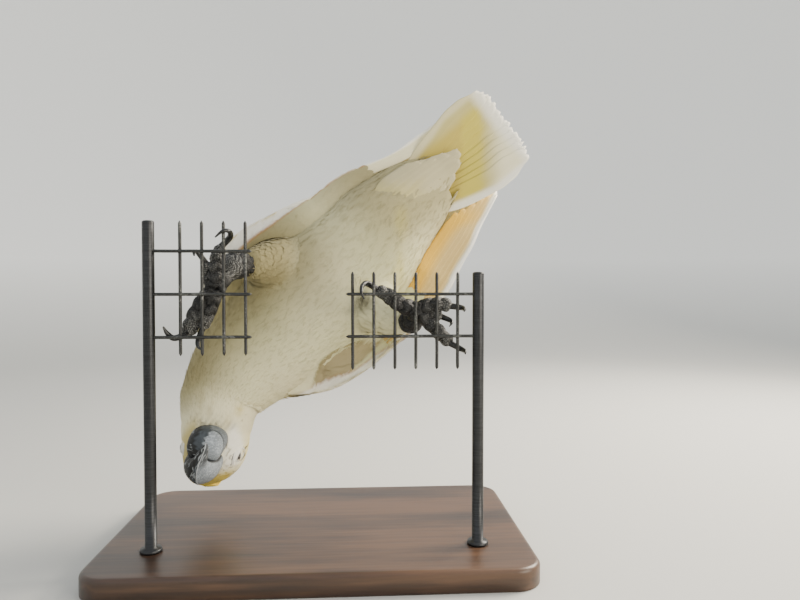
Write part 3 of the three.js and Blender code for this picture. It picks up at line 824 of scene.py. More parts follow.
def lidShape(sign):
    # two lids and the bare ring round them: a profile over the distance from the eye's own
    # axis, on the ball inside, a rolled edge, a crease, then down to the head, all wrinkled
    turn, share = circle(180)[:, None], np.linspace(0, 1, 40)[None]
    squeeze = 1 - 0.16 * np.sin(turn) ** 2  # the opening is a little wider than high
    opening = eyes["opening"] * squeeze * (1 + 0.03 * np.cos(2 * turn + 1))
    away = opening + (eyes["ring"] - opening) * share
    forward = eyes["forward"] + away * np.cos(turn)
    crown = eyes["crown"] + away * np.sin(turn)
    onHead, _ = ontoBody(headPoint(forward, crown, sign * 20.0), np.ones_like(forward))
    base = sign * inHead(onHead)[2] - 0.5
    ball = eyes["side"] + np.sqrt(np.clip(eyes["radius"] ** 2 - away ** 2, 0.5, None))
    past = away - opening
    edge = ball + 0.2 + 0.45 * np.sin(np.pi * np.clip(past / 2.0, 0, 1)) ** 0.8
    settle = smooth(0.5, 2.6, past)
    crease = 0.25 * np.exp(-((past - 1.7) / 0.35) ** 2)
    height = edge * (1 - settle) + base * settle - crease - 0.9 * smooth(2.6, 4.0, past)
    rings = 0.07 * np.sin(past * 7.0 + 0.6 * np.sin(3 * turn)) * smooth(0.4, 1.0, past)
    rays = 0.05 * np.sin(turn * 46 + 2 * np.sin(past)) * smooth(0.3, 1.0, past) * smooth(4, 3, past)
    layers = [headPoint(forward, crown, sign * (height + rings + rays)),
              headPoint(forward, crown, sign * (height - 1.0))[:, ::-1]]
    points = np.concatenate(layers, 1).reshape(-1, 3)
    faces = turnedOut(points, [gridFaces(180, 80, closed=True, looped=True)])
    # painted shade and highlight: the lid's tone a little darker in the grooves of its wrinkles and
    # lighter on their ridges
    tone = hexColor(eyes["lid"]) * (0.95 + 0.4 * (rings + rays))[..., None]
    tone = toward(tone, hexColor(eyes["lidEdge"]), np.exp(-(past / 0.5) ** 2))
    return points, faces, np.concatenate([tone, tone], 1).reshape(-1, 3)


def makeSkin():
    thighs = [tubeShape(np.array(leg["thigh"]) - [0, 0, 0, 1.8], 40, 40) for leg in legs.values()]
    core = newPiece("skin", *joinShapes(bodyCore(), *thighs, armSlab("left"), armSlab("right")), clay)
    melted(core, skinShape["bodyVoxel"], 4)
    feet = [footMesh(leg) for leg in legs.values()]
    solved(core, *[("BOOLEAN", {"operation": "UNION", "solver": "MANIFOLD", "object": foot})
                   for foot in feet])
    points, _ = meshArrays(core.data)
    tone = 0.93 * bodyTone(points, stationOf(points))
    onFoot = np.zeros(len(points), bool)
    for leg, foot in zip(legs.values(), feet):
        close = np.linalg.norm(points - np.array(leg["shank"][-1][:3]), axis=1) < skinShape["footReach"]
        which = np.nonzero(close)[0]
        _, _, away, radius = nearTubes(points[which], [leg["shank"], *leg["toes"]])
        # bare skin starts in a plane across the thigh's end
        thighEnd, down = np.array(leg["thigh"][-1], float), heading(leg["thigh"], np.array([2.0]))[0]
        fromEnd = points[which] - thighEnd[:3]
        bare = (dot(fromEnd, down)[:, 0] > 0.5) | (np.linalg.norm(fromEnd, axis=1) > 16)
        which = which[(away < radius + skinShape["overFoot"]) & bare]
        _, up, toTip, near, pads = footRelief(points[which], leg)
        pale = np.clip(smooth(15, 4, toTip) * 0.9 + 0.8 * near + 0.08, 0, 1) * smooth(0.3, 0.8, up)
        # painted shade: black in the low creases between the grains and pads, grading to the skin's
        # tone on the raised ones
        standing = smooth(0.2, 0.7, up * (0.7 + 0.3 * pads))
        shaded = toward(footColors["crease"], footColors["skin"], standing)
        tone[which] = toward(shaded, footColors["tip"], 0.85 * pale)
        onFoot[which] = True
        bpy.data.objects.remove(foot)
    mesh = core.data
    mark(mesh, {"tone": tone})
    starts = np.zeros(len(mesh.polygons), np.int32)
    mesh.polygons.foreach_get("loop_start", starts)
    mesh.materials.clear()
    mesh.materials.append(drySkin)
    mesh.materials.append(footMaterial())
    mesh.polygons.foreach_set("material_index", onFoot[cornerPoints(mesh)[starts]].astype(np.int32))
    mesh.shade_smooth()
    place(core, "foot_skin", "head", "neck", "trunk", "thigh_left", "thigh_right", "foot_left",
          "foot_right")
    print("skin", len(mesh.loops) - 2 * len(mesh.polygons), "triangles")
    for name, sign in (("lids.left", -1), ("lids.right", 1)):
        lidPoints, lidFaces, lidTone = lidShape(sign)
        place(newPiece(name, lidPoints, lidFaces, drySkin, {"tone": lidTone}), "foot_skin")


# eyes

def eyeMaterial():
    # a glass-clear front over a near-black pupil and a dark brown iris with fine rays
    material, tree, surface = newMaterial("glassEye", Roughness=0.04, Coat_Weight=1.0,
                                          Coat_Roughness=0.02)
    ring = marked(tree, "ring").outputs["Fac"]
    rays = mapped(tree, noise(tree, 1500.0, 4.0), 0.3, 0.7, -0.25, 0.25)
    where = mapped(tree, math2(tree, "ADD", ring, rays), 0.0, 5.0)
    feed(tree, surface, Base_Color=ramp(tree, where, eyes["iris"]))
    return material


def makeEyes():
    # a ball of rings about the eye's own axis, its clear front standing a little proud
    glass = eyeMaterial()
    for name, sign in (("eye_left", -1), ("eye_right", 1)):
        tilt, turn = np.linspace(0.02, np.pi - 0.02, 60)[:, None], circle(72)[None]
        radius = eyes["radius"] - 0.12 + 0.3 * np.exp(-(tilt / 0.6) ** 2)
        away = radius * np.sin(tilt)
        ball = headPoint(eyes["forward"] + away * np.cos(turn), eyes["crown"] + away * np.sin(turn),
                         sign * (eyes["side"] + radius * np.cos(tilt)) + 0 * turn)
        ring = np.concatenate([(away + 6 * (tilt > 1.6) + 0 * turn).ravel(), [0.0, 9.0]])
        place(newPiece(name, *closedTube(ball), glass, {"ring": ring}), "eye", name)


# bill, cere and nostrils

bill = {
    "forward": 21.5,
    "crown": 6.0,
    # a point on the ridge, a point on the other side, and half the width there
    "upper": [[-6, 0.5, -8, -17, 12], [2, 0.5, -1, -18, 12.4], [9, -1.5, 4.4, -19, 12.2],
              [14.6, -6, 7.8, -20, 11],
              [17.8, -12, 10.4, -20.6, 8.6], [18.6, -19, 12.8, -22.8, 5.4],
              [17.4, -25.5, 13.4, -27, 3.8],
              [15.6, -30.5, 13, -31.2, 2.3], [13.8, -34, 13.2, -34.3, 0.7]],
    "lower": [[-10, -16, -14, -31.5, 11], [-5, -16, -7, -33.6, 12.2], [-0.5, -16, -1, -33.8, 12],
              [3.6, -16, 4.6, -31, 11.4], [6.4, -16.6, 8.2, -27, 9.6], [8, -18, 9.6, -23, 6]],
    "gape": {"upper": 0, "lower": 1},  # the end of the oval, other side or ridge, that is flat
    "narrow": {"upper": 0.40, "lower": 0.12},
    "bend": 3.0,  # mm that the worn hook leans to the right
    "flake": 1.5,  # mm between the flakes of worn horn
}
# colours of the horn: black, also as painted shade on the left, slate, a pale grey as a painted
# reflection of the sky on the right, flecks, and a pale line as a painted highlight on the ridge
hornColors = {key: hexColor(code) for key, code in
              {"black": "#101111", "slate": "#3E454B", "skyReflection": "#A9B1B8", "fleck": "#979C9E",
               "ridgeHighlight": "#C9CED2",
               "cere": "#4A4D4F", "pit": "#0A0A0A"}.items()}


def billShape(half, rings, sides):
    # an oval from the ridge to the other side at each section, squarer at the gape, narrower
    # at the ridge, with a keel, a flute beside it, growth steps and small flakes of horn
    upper, lower = half == "upper", half == "lower"
    rows, turn = np.linspace(0, len(bill[half]) - 1, rings)[:, None], circle(sides)[None]
    ridgeX, ridgeY, otherX, otherY, wide = np.moveaxis(between(bill[half], rows), -1, 0)
    share = 0.5 + 0.5 * np.cos(turn)
    away = (turn + np.pi) % (2 * np.pi) - np.pi
    taper = smooth(-0.3, 1.2, len(bill[half]) - 1 - rows)
    around, down = away * wide, rows * 5.0 + 0 * turn
    warped = down + 1.6 * np.sin(around * 0.55) + 0.7 * np.sin(around * 1.7 + down * 0.6)
    first, second, kind = cells((around + 0.5 * np.sin(down * 1.3)) / bill["flake"],
                                warped / (1.7 * bill["flake"]), 5.0)
    side = np.sin(turn) + 0.10 * np.sin(down * 0.5) + 0.06 * np.sin(down * 1.9)
    # painted shade: the left side black
    shaded = smooth(0.10, -0.06, side)
    flake = smooth(0.05, 0.3, second - first) * (kind - 0.35) * (0.25 + 0.75 * shaded)
    keel = 0.25 * np.exp(-(away / 0.16) ** 2) - 0.2 * np.exp(-((np.abs(away) - 0.5) / 0.22) ** 2)
    # the line on the lower half where its smooth part starts, curved round the right side
    fromLine = down - 13.0 - 5.0 * np.cos(away * 1.4 - 0.9)
    line = np.exp(-(fromLine / 0.5) ** 2) * lower * (side > 0)
    extra = (keel * upper + 0.22 * flake - 0.25 * line) * taper
    square = 1 - 0.72 * (1 - np.abs(share - bill["gape"][half]))
    width = (wide + extra) * np.sign(np.sin(turn)) * np.abs(np.sin(turn)) ** square
    width = width * (1 - bill["narrow"][half] * share ** 1.5)
    width = width + bill["bend"] * smooth(4.2, 7.5, rows) * upper
    flat = np.hypot(ridgeX - otherX, ridgeY - otherY)
    x = otherX + (ridgeX - otherX) * (share + extra * np.cos(turn) / flat)
    y = otherY + (ridgeY - otherY) * (share + extra * np.cos(turn) / flat)
    points, faces = closedTube(headPoint(bill["forward"] + x, bill["crown"] + y, width))
    # pale grey in grains over slate on the right as a painted reflection of the sky, black on the left
    # as painted shade with a slate band of painted half shade, black and flaked down the hook, dark
    # along the edges of the gape, and a painted highlight along the ridge
    grain, spread, pale = cells(around / 0.85, down / 0.9, 8.0)
    # painted reflection of the sky: the pale grey in grains over the slate
    skyReflection = 0.5 + 0.5 * smooth(0.2, 0.9, pale) * smooth(0.05, 0.3, spread - grain)
    gape = share if bill["gape"][half] == 0 else 1 - share
    edge = 0.9 * smooth(0.13, 0.05, gape) * (rows < 6) + 0.85 * line
    root = 0.55 * smooth(0.4, -0.4, fromLine) * lower * (side > 0)
    hook = 0.8 * smooth(4.6, 5.8, rows) * upper
    # painted half shade: a slate band between the black and the pale grey
    halfShade = shaded * smooth(-0.55, -0.35, side) * (1 - edge) * (1 - hook)
    fleck = (kind > 0.60) * smooth(0.12, 0.3, second - first) * np.clip(shaded + hook, 0, 1)
    fleck = fleck * (np.abs(away) < 2.4)
    # painted highlight: a pale line along the ridge of the upper bill
    ridgeHighlight = np.exp(-((around - 0.1 * wide) / 0.35) ** 2) * smooth(2.0, 3.2, rows) * upper
    tone = toward(hornColors["slate"], hornColors["skyReflection"], skyReflection)
    tone = toward(tone, hornColors["slate"], root)
    tone = toward(tone, hornColors["black"], np.clip(shaded + edge + hook, 0, 1))
    tone = toward(tone, hornColors["slate"] * (0.8 + 0.5 * kind)[..., None], 0.85 * halfShade)
    tone = toward(tone, hornColors["fleck"], 0.9 * fleck * smooth(0.6, 0.8, kind))
    tone = toward(tone, hornColors["ridgeHighlight"], 0.8 * ridgeHighlight)
    return points, faces, np.concatenate([tone.reshape(-1, 3), tone[[0, -1], 0]])


def billMaterial():
    # keratin horn of the bill in the tones on its points, with a fine dusty bloom over a low
    # gloss
    material, tree, surface = newMaterial("billHorn", Roughness=0.5)
    dust = noise(tree, 1400.0, 4.0)
    toneTimes(tree, surface, mapped(tree, dust, 0.3, 0.7, 0.8, 1.15))
    feed(tree, surface, Roughness=mapped(tree, dust, 0.0, 1.0, 0.35, 0.75))
    bump(tree, surface, dust, 0.00008, 0.5)
    return material


def clawMaterial():
    # polished black horn, greyer where it is worn
    material, tree, surface = newMaterial("clawHorn", Roughness=0.28)
    broad = math2(tree, "MULTIPLY", noise(tree, 160.0), 0.6)
    worn = math2(tree, "MULTIPLY_ADD", noise(tree, 1100.0, 4.0), 0.4, broad)
    stops = [(0.45, "#0E0F0F"), (0.6, "#2B2D2E"), (0.72, "#66696B")]
    feed(tree, surface, Base_Color=ramp(tree, worn, stops))
    return material


def makeBill():
    horn = billMaterial()
    for half in ("upper", "lower"):
        points, faces, tone = billShape(half, 150, 110)
        place(newPiece(f"bill_{half}", points, faces, horn, {"tone": tone}), "bill", f"bill_{half}")
    # the cere: a soft swelling over the root of the upper bill with two sunk nostrils
    rows, turn = np.linspace(0.2, 1.35, 34)[:, None], np.linspace(-1.5, 1.5, 80)[None]
    ridgeX, ridgeY, otherX, otherY, wide = np.moveaxis(between(bill["upper"], rows), -1, 0)
    share = 0.5 + 0.5 * np.cos(turn)
    dome = np.abs(np.sin(np.pi * (rows - 0.2) / 1.15)) ** 0.6
    swell = 0.9 * dome * np.cos(turn / 1.5 * np.pi / 2) ** 0.5 - 0.2
    pits, rims = 0.0, 0.0
    for side in (-0.5, 0.5):
        down, off = rows - 0.8, turn - side
        pits = pits + np.exp(-(down / 0.11) ** 2 - (off / 0.13) ** 2)
        rims = rims + np.exp(-((np.hypot(down / 0.17, off / 0.2) - 1) / 0.35) ** 2)
    extra = swell + 0.35 * rims - 2.0 * pits
    narrow = 1 - bill["narrow"]["upper"] * share ** 1.5
    x = bill["forward"] + otherX + (ridgeX - otherX) * share + extra * np.cos(turn) * 0.2
    y = bill["crown"] + otherY + (ridgeY - otherY) * share + extra * np.cos(turn)
    width = (wide + extra) * np.sign(turn) * np.abs(np.sin(turn)) ** (0.28 + 0.72 * share) * narrow
    layers = [headPoint(x, y, width),
              headPoint(x - 0.6 * np.cos(turn), y - 1.2 * np.cos(turn), width * 0.93)]
    points = np.concatenate([layer.reshape(-1, 3) for layer in layers])
    # painted shade: black in the sunk nostrils
    tone = toward(hornColors["cere"], hornColors["pit"], np.clip(1.4 * pits, 0, 1))
    tone = np.concatenate([tone.reshape(-1, 3)] * 2)
    place(newPiece("cere", points, turnedOut(points, [sheetFaces(34, 80)]), drySkin, {"tone": tone}),
          "bill")


def makeClaws():
    # curved horn hooks with a flat below
    def oval(rows, turn):
        return -0.12 * np.cos(2 * turn) * (rows < 3.4)

    horn = clawMaterial()
    for side in legs:
        for i, claw in enumerate(legs[side]["claws"]):
            name = f"claw_{side}_{i + 1}"
            place(newPiece(name, *tubeShape(claw, 44, 20, oval), horn), "claw", name)


# wing surface

wings = {
    # station, then the low edge, the turn and the edge on the back, as sideways and towards
    # the back from the body's axis
    "right": [[3.9, -31, -1, -36, 14, -22, 27], [4.5, -41, -5, -45, 26, -14, 38],
              [5.3, -54.5, -12, -51, 37, -7, 42],
              [6.2, -60, -17, -54, 38, -3, 44], [7.5, -61, -17, -52, 36, -2, 41],
              [8.8, -62, -15, -48, 30, -4, 34],
              [9.9, -54, -9, -41, 21, -6, 24], [10.5, -45, -2, -37, 13, -14, 17],
              [11.1, -35, 4, -33, 8, -29, 10]],
    "left": [[3.9, 34, 2, 38, 16, 20, 29], [4.5, 49, -3, 49, 26, 14, 39],
             [5.3, 64.5, -8, 58, 37, 7, 42],
             [6.2, 67.5, -9, 59, 38, 4, 44], [7.5, 60, -6, 54, 36, 3, 41],
             [8.8, 48.5, -4, 43, 31, 1, 34],
             [9.9, 35, -1, 34, 22, 2, 24], [10.6, 33.5, 3, 31, 14, 12, 17],
             [11.4, 32.5, 5, 31.5, 8, 28, 10]],
}


def wingRow(side, s):
    # the wing's table read at a share of the way from the shoulder to the tip
    return between(wings[side], np.asarray(s) * (len(wings[side]) - 1))


def wingSurface(side, s, a):
    # s runs from the shoulder to the tip, and a from the low edge over a bend to the back
    row = wingRow(side, s)
    low, bend, high = (1 - a) ** 2, 2 * a * (1 - a), a ** 2
    middle, _, dorsal, left, _ = bodyFrame(row[..., 0])
    sideways = low * row[..., 1] + bend * row[..., 3] + high * row[..., 5]
    backwards = low * row[..., 2] + bend * row[..., 4] + high * row[..., 6]
    return middle + left * sideways[..., None] + dorsal * backwards[..., None]


def wingSide(side):
    # the wing's own surface, and 1 or -1 as its steps' cross product points out of it or not
    def surface(s, a):
        return wingSurface(side, s, a)

    out = surface(np.array([0.5]), np.array([0.5])) - bodyFrame(np.array([7.0]))[0]
    return surface, facing(surface, 0.5, 0.5, out)


def wingFrame(side, s, a):
    # the point, its steps per unit of s and of a, and the way out of the wing
    surface, sign = wingSide(side)
    stepS, stepA = steps(surface, s, a)
    return surface(s, a), stepS, stepA, unit(np.cross(stepS, stepA)) * sign


clay, _, _ = newMaterial("modellingClay")  # only on pieces still being made
drySkin = skinMaterial()
makeSkin()
makeEyes()
makeBill()
makeClaws()
print("skin, eyes, bill and claws ready")


# feathers

def raised(base, height, outward):
    # lifts a grid of points off its own surface; outward is a rough direction for each grid
    alongRows = np.gradient(base, axis=1)
    alongColumns = np.gradient(base, axis=2)
    normal = unit(np.cross(alongRows, alongColumns))
    sign = np.sign(dot(normal.mean((1, 2), keepdims=True), outward[:, None, None]))
    return base + normal * sign * height[..., None], np.where(sign > 0, 1, -1)[:, 0, 0, 0]


def contourShape(count, length, width, rows, columns, fray=0.12):
    # a soft feather over a grid: narrow at its root, widest past its middle, with a round
    # tip whose barbs end unevenly; returns how far across and along each point is
    v = np.linspace(0, 1, rows)[None, :, None]
    u = np.linspace(-1, 1, columns)[None, None, :]
    uneven = random.random((count, 1, columns)) - 0.35
    length, width = length[:, None, None], width[:, None, None]
    y = length * (v - 0.26 * u ** 2 * v ** 2 - fray * uneven * v ** 3)
    x = 0.5 * width * u * (0.34 + 0.66 * np.sin(0.62 * np.pi * v)) * (1 + 0.08 * uneven)
    return x, y, u + 0 * v, v + 0 * u


def patchSpots(rows, columns):
    # where a feather's points lie round its place on the unwrapped skin
    return np.stack(np.meshgrid(np.linspace(-1, 1, columns), np.linspace(-1, 1, rows)), -1) * 0.0015


def vaneMesh(points, across, along, tones, roots, flip):
    # joins all feathers into one mesh's arrays; roots are their places on the unwrapped skin
    count, rows, columns = points.shape[:3]
    every = gridFaces(rows, columns)[None] + (np.arange(count) * rows * columns)[:, None, None]
    every = np.where((flip > 0)[:, None, None], every, every[..., ::-1]).reshape(-1, 4)
    vane = np.stack([across, along, np.broadcast_to(random.random((count, 1, 1)), across.shape)], -1)
    patch = np.clip(roots[:, None, None] + patchSpots(rows, columns)[None], 0.001, 0.999)
    return [points.reshape(-1, 3), every, vane.reshape(-1, 3), tones.reshape(-1, 3),
            patch.reshape(-1, 2)]


def coatPiece(name, parts, material, slotName, *replaced):
    # one piece from groups of feathers, each with its points, faces, vane, tone and patch
    starts = np.cumsum([0] + [len(part[0]) for part in parts])
    faces = np.concatenate([part[1] + start for part, start in zip(parts, starts)])
    points, _, vane, tone, patch = [np.concatenate(group) for group in zip(*parts)]
    piece = newPiece(name, points, faces, material, {"vane": vane, "tone": tone}, patch)
    place(piece, slotName, *replaced)
    print(name, 2 * len(faces), "triangles")


def tones(tone, v, darker=0.12):
    # the colour of each root's place, a little deeper towards the hidden root, yellower as its
    # base is and darker as painted shade under the feathers over it, with a small difference in
    # lightness from feather to feather
    count = len(tone)
    whole = tone if tone.ndim == 4 else tone[:, None, None] * np.ones((*v.shape, 1))
    whole = mixed(whole, "shade", darker * (1 - v) ** 1.5)
    return whole * (1 + plumage["bloom"] * (2 * random.random((count, 1, 1, 1)) - 1))


def featherMaterial(name, barbPitch, relief, roughness):
    # feather keratin, grown as barbs off a shaft: matt, cream, with a fine slanting grain;
    # real barbs are 0.25 mm apart, drawn here coarser so that they show
    material, tree, surface = newMaterial(name, Roughness=roughness, Sheen_Weight=0.06,
                                          Specular_IOR_Level=0.25, Sheen_Roughness=0.5)
    vane = put(tree, "SeparateXYZ", {"Vector": marked(tree, "vane").outputs["Vector"]})
    side = math2(tree, "ABSOLUTE", vane.outputs["X"], 0.0)
    slant = math2(tree, "MULTIPLY_ADD", side, -1.3, vane.outputs["Y"])
    barbs = math2(tree, "SINE", math2(tree, "MULTIPLY", slant, 2 * math.pi / barbPitch), 0.0)
    shaft = mapped(tree, side, 0.15, 0.45, 1.0, 0.0)
    dust = mapped(tree, noise(tree, 55.0, 4.0), 0.35, 0.75, 1.0, 0.96)
    toneTimes(tree, surface, math2(tree, "MULTIPLY_ADD", barbs, 0.025, dust))
    bump(tree, surface, math2(tree, "MULTIPLY_ADD", barbs, 0.35, shaft), relief, 0.6)
    return material


softFeathers = featherMaterial("softFeatherKeratin", 0.8, 0.00007, 0.85)
stiffFeathers = featherMaterial("stiffFeatherKeratin", 0.8, 0.00011, 0.7)


# the coat of the body

coat = {
    # station, feather length in mm there
    "length": [(0, 5.5), (1, 5.0), (2, 6.5), (3, 9), (4, 11.5), (5, 13), (7, 14), (9, 16), (10, 20),
               (11, 24)],
    "soft": {"width": 0.50, "rowShare": 0.21, "columnShare": 0.40, "depth": 0.07, "lift": 0.07,
             "spin": 0.10},
    "small": {"width": 0.60, "rowShare": 0.26, "columnShare": 0.45, "depth": 0.12, "lift": 0.2,
              "spin": 0.25},
    "broad": {"width": 0.62, "rowShare": 0.25, "columnShare": 0.45, "depth": 0.12, "lift": 0.4,
              "spin": 0.15},
    "wisp": {"width": 0.05, "rowShare": 0.34, "columnShare": 3.2, "depth": 0.06, "lift": 0.9,
             "spin": 0.4},
    "tuft": {"width": 0.10, "rowShare": 0.07, "columnShare": 0.7, "depth": 0.05, "lift": 2.6,
             "spin": 0.9},
    "crook": {"at": (-95, 41, -69), "reach": 15.0, "shorter": 0.6},  # where neck and breast meet
    "guideVoxel": 2.0,  # mm; more of it and of the smoothing runs body and thighs together more
    "guideSmoothing": 16,
    "downDepth": 0.7,  # mm under the coat's surface
}


def featherLength(station):
    return readAt(coat["length"], station)


def bodyRoots(start, end, turns, style):
    # rows of roots round the body, each shifted half a step and jittered
    found = []
    station, odd = start, 0
    while station < end:
        length = featherLength(station)
        _, _, _, _, pitch = bodyFrame(np.array([station]))
        ring = bodySurface(np.full(65, station), np.linspace(turns[0], turns[1], 65))
        around = np.linalg.norm(np.diff(ring, axis=0), axis=-1).sum()
        count = max(3, int(around / (length * style["width"] * style["columnShare"])))
        turn = turns[0] + (turns[1] - turns[0]) * (np.arange(count) + 0.5 * odd
                                                   + 0.4 * random.random(count)) / count
        jitter = 0.9 * style["rowShare"] * length / pitch[0, 0] * (random.random(count) - 0.5)
        found.append(np.stack([station + jitter, turn], -1))
        station += style["rowShare"] * length / pitch[0, 0]
        odd = 1 - odd
    return np.concatenate(found)


def bodyNormal(station, turn):
    e = 0.01
    alongStation = bodySurface(station + e, turn) - bodySurface(np.maximum(station - e, 0.0), turn)
    alongTurn = bodySurface(station, turn + e) - bodySurface(station, turn - e)
    normal = unit(np.cross(alongStation, alongTurn))
    middle = bodyFrame(np.maximum(station, 1.0))[0]
    return normal * np.sign(dot(bodySurface(station, turn) - middle, normal))


def flowOnBody(station, normal):
    # feathers point to the tail, and on the head away from the bill as well
    _, along, _, _, _ = bodyFrame(station)
    head = 1 - smooth(1.2, 2.7, station)[..., None]
    way = along * (1 - 0.45 * head) - headFront * head
    return unit(way - normal * dot(way, normal))


def clearOfFace(points):
    # true where a feather's root is clear of the bare ring of both eyes and of the bill
    forward, crown, right = inHead(points)
    clear = np.ones(len(points), bool)
    for side in (-1, 1):
        away = np.hypot(forward - eyes["forward"], crown - eyes["crown"])
        clear &= (away > eyes["bareRing"]) | (side * right < 8)
    billSide = 12.2 * np.sqrt(np.clip(1 - ((crown + 10) / 17) ** 2, 0, 1))
    clear &= (np.abs(right) > billSide) | (forward < 8)
    return clear


def makeGuide(past):
    # the surface under the coat of the body and thighs, where the two run into each other,
    # with the thighs carried on past their ends by some mm
    thighs = []
    for leg in legs.values():
        path = np.array(leg["thigh"], float) + [0, 0, 0, 0.6]
        beyond = path[-1] * [1, 1, 1, 0.8] + [*(past * heading(path, np.array([2.0]))[0]), 0]
        thighs.append(tubeShape(np.vstack([path, beyond]), 60, 40))
    piece = newPiece("guide", *joinShapes(bodyGrid(3.6, 10.4, 150, 110), *thighs), clay)
    return melted(piece, coat["guideVoxel"], coat["guideSmoothing"])


def onGuide(points):
    # the nearest place on the guide to each point
    carried = newPiece("carried", points.reshape(-1, 3), np.array([[0, 1, 2]]), clay)
    solved(carried, ("SHRINKWRAP", {"target": guide, "wrap_method": "NEAREST_SURFACEPOINT"}))
    places = meshArrays(carried.data)[0].reshape(points.shape)
    bpy.data.objects.remove(carried)
    return places


def settled(base, guided):
    # leaves a feather where it was when the guide would tear it across a fold
    torn = np.linalg.norm(np.diff(guided, axis=1), axis=-1).max((1, 2)) > 5.0
    return np.where(torn[:, None, None, None], base, guided)


def bodyCoat(start, end, turns, rows, columns, styleName, out=0.0, longer=1.0, keep=None):
    # feathers lie along the flow from their roots, each grid carried onto the body's surface,
    # its root under the surface and its tip just over it; keep is a place and how far round
    # it feathers stay
    style = coat[styleName]
    roots = bodyRoots(start, end, turns, style)
    station, turn = np.maximum(roots[:, 0], 0.03), roots[:, 1]
    at = bodySurface(station, turn, out)
    good = clearOfFace(at) if keep is None else np.linalg.norm(at - np.array(keep[0]), axis=1) < keep[1]
    for leg in legs.values():
        _, _, away, radius = nearTubes(at, [leg["thigh"]])
        good &= away > radius - 1.5
    station, turn, at = station[good], turn[good], at[good]
    normal = bodyNormal(station, turn)
    way = flowOnBody(station, normal)
    spin = (random.random((len(at), 1)) - 0.5) * 2 * style["spin"]
    side = np.cross(normal, way)
    way, side = way * np.cos(spin) + side * np.sin(spin), side * np.cos(spin) - way * np.sin(spin)
    fromBill = np.linalg.norm(at - headPoint(bill["forward"], 0.0, 0.0), axis=-1)
    length = longer * featherLength(station) * np.clip(0.30 + fromBill / 45, 0.5, 1)
    length = length * (0.85 + 0.3 * random.random(len(at)))
    fromCrook = np.linalg.norm(at - np.array(coat["crook"]["at"]), axis=-1) / coat["crook"]["reach"]
    length = length * (1 - coat["crook"]["shorter"] * np.exp(-fromCrook ** 2))
    width = length * style["width"] * (0.9 + 0.2 * random.random(len(at)))
    x, y, u, v = contourShape(len(at), length, width, rows, columns)
    flat = at[:, None, None] + way[:, None, None] * y[..., None] + side[:, None, None] * x[..., None]
    _, axis, _, _, pitch = bodyFrame(station)
    guess = station[:, None, None] + y * (dot(way, axis) / pitch)[:, None]
    base, _ = ontoBody(flat, guess, out)
    depth = np.minimum(style["depth"] * length, 2.2)[:, None, None]
    lift = style["lift"] * random.random((len(at), 1, 1))
    ripple = 0.25 * np.sin(base[..., 0] * 0.13 + base[..., 2] * 0.08)
    ripple = ripple * smooth(3, 5, station)[:, None, None]
    cup = 0.05 * width[:, None, None] * u ** 2 * v
    height = -depth * (1 - v) ** 1.4 - cup + lift * v ** 2 + ripple
    if turns is belly:
        base = settled(base, onGuide(base))
    points, flip = raised(base, height, normal)
    tone = tones(bodyTone(base, guess), v)
    return vaneMesh(points, x, y, tone, bodyPatch(turn, station), flip)


def bodyPatch(turn, station):
    # places on the unwrapped skin
    return np.stack([(turn / (2 * np.pi)) % 1, station / lastStation], -1) * 0.9 + 0.05


fullTurn = (-np.pi, np.pi)
belly = (-np.pi - 0.35, 0.35)
guide = makeGuide(9.0)
# start and end on the axis, turns, rows, columns and style, then how far over the body, how
# much longer, and where it is kept
bodyCoats = {
    "coatHead": [(0.03, 2.3, fullTurn, 4, 5, "small")],
    "coatNeck": [(2.3, 4.6, fullTurn, 5, 6, "soft")],
    "coatBreast": [(4.5, 6.9, belly, 5, 6, "soft")],
    "coatBelly": [(6.8, 9.5, belly, 5, 6, "soft")],
    "coatVent": [(9.4, 9.85, fullTurn, 6, 6, "soft")],
    "coatMantle": [(4.3, 7.6, (0.9, np.pi - 0.9), 5, 8, "broad", 4.5, 1.3),
                   (7.4, 10.2, (0.3, np.pi - 0.3), 5, 7, "broad")],
    "wisps": [(2.4, 10.2, fullTurn, 4, 2, "wisp"),
              (7.0, 8.4, belly, 6, 2, "tuft", 0.0, 1.0, ((-23, 36, -1), 6.5))],
}
for name, patches in bodyCoats.items():
    coatPiece(name, [bodyCoat(*patch) for patch in patches], softFeathers, "plumage")
print("body coat ready")


# the coat of the thighs

thighCoat = {"length": {"left": 9.0, "right": 12.0}, "rows": 17, "around": 27, "from": 0.2,
             "to": {"left": 1.85, "right": 1.95}, "sink": 14.0, "sinkFrom": 1.95}


def overBody(points, station):
    # about how far points stand over the surface of the body
    onto, station = ontoBody(points, station)
    middle = bodyFrame(station)[0]
    return np.linalg.norm(points - middle, axis=-1) - np.linalg.norm(onto - middle, axis=-1)


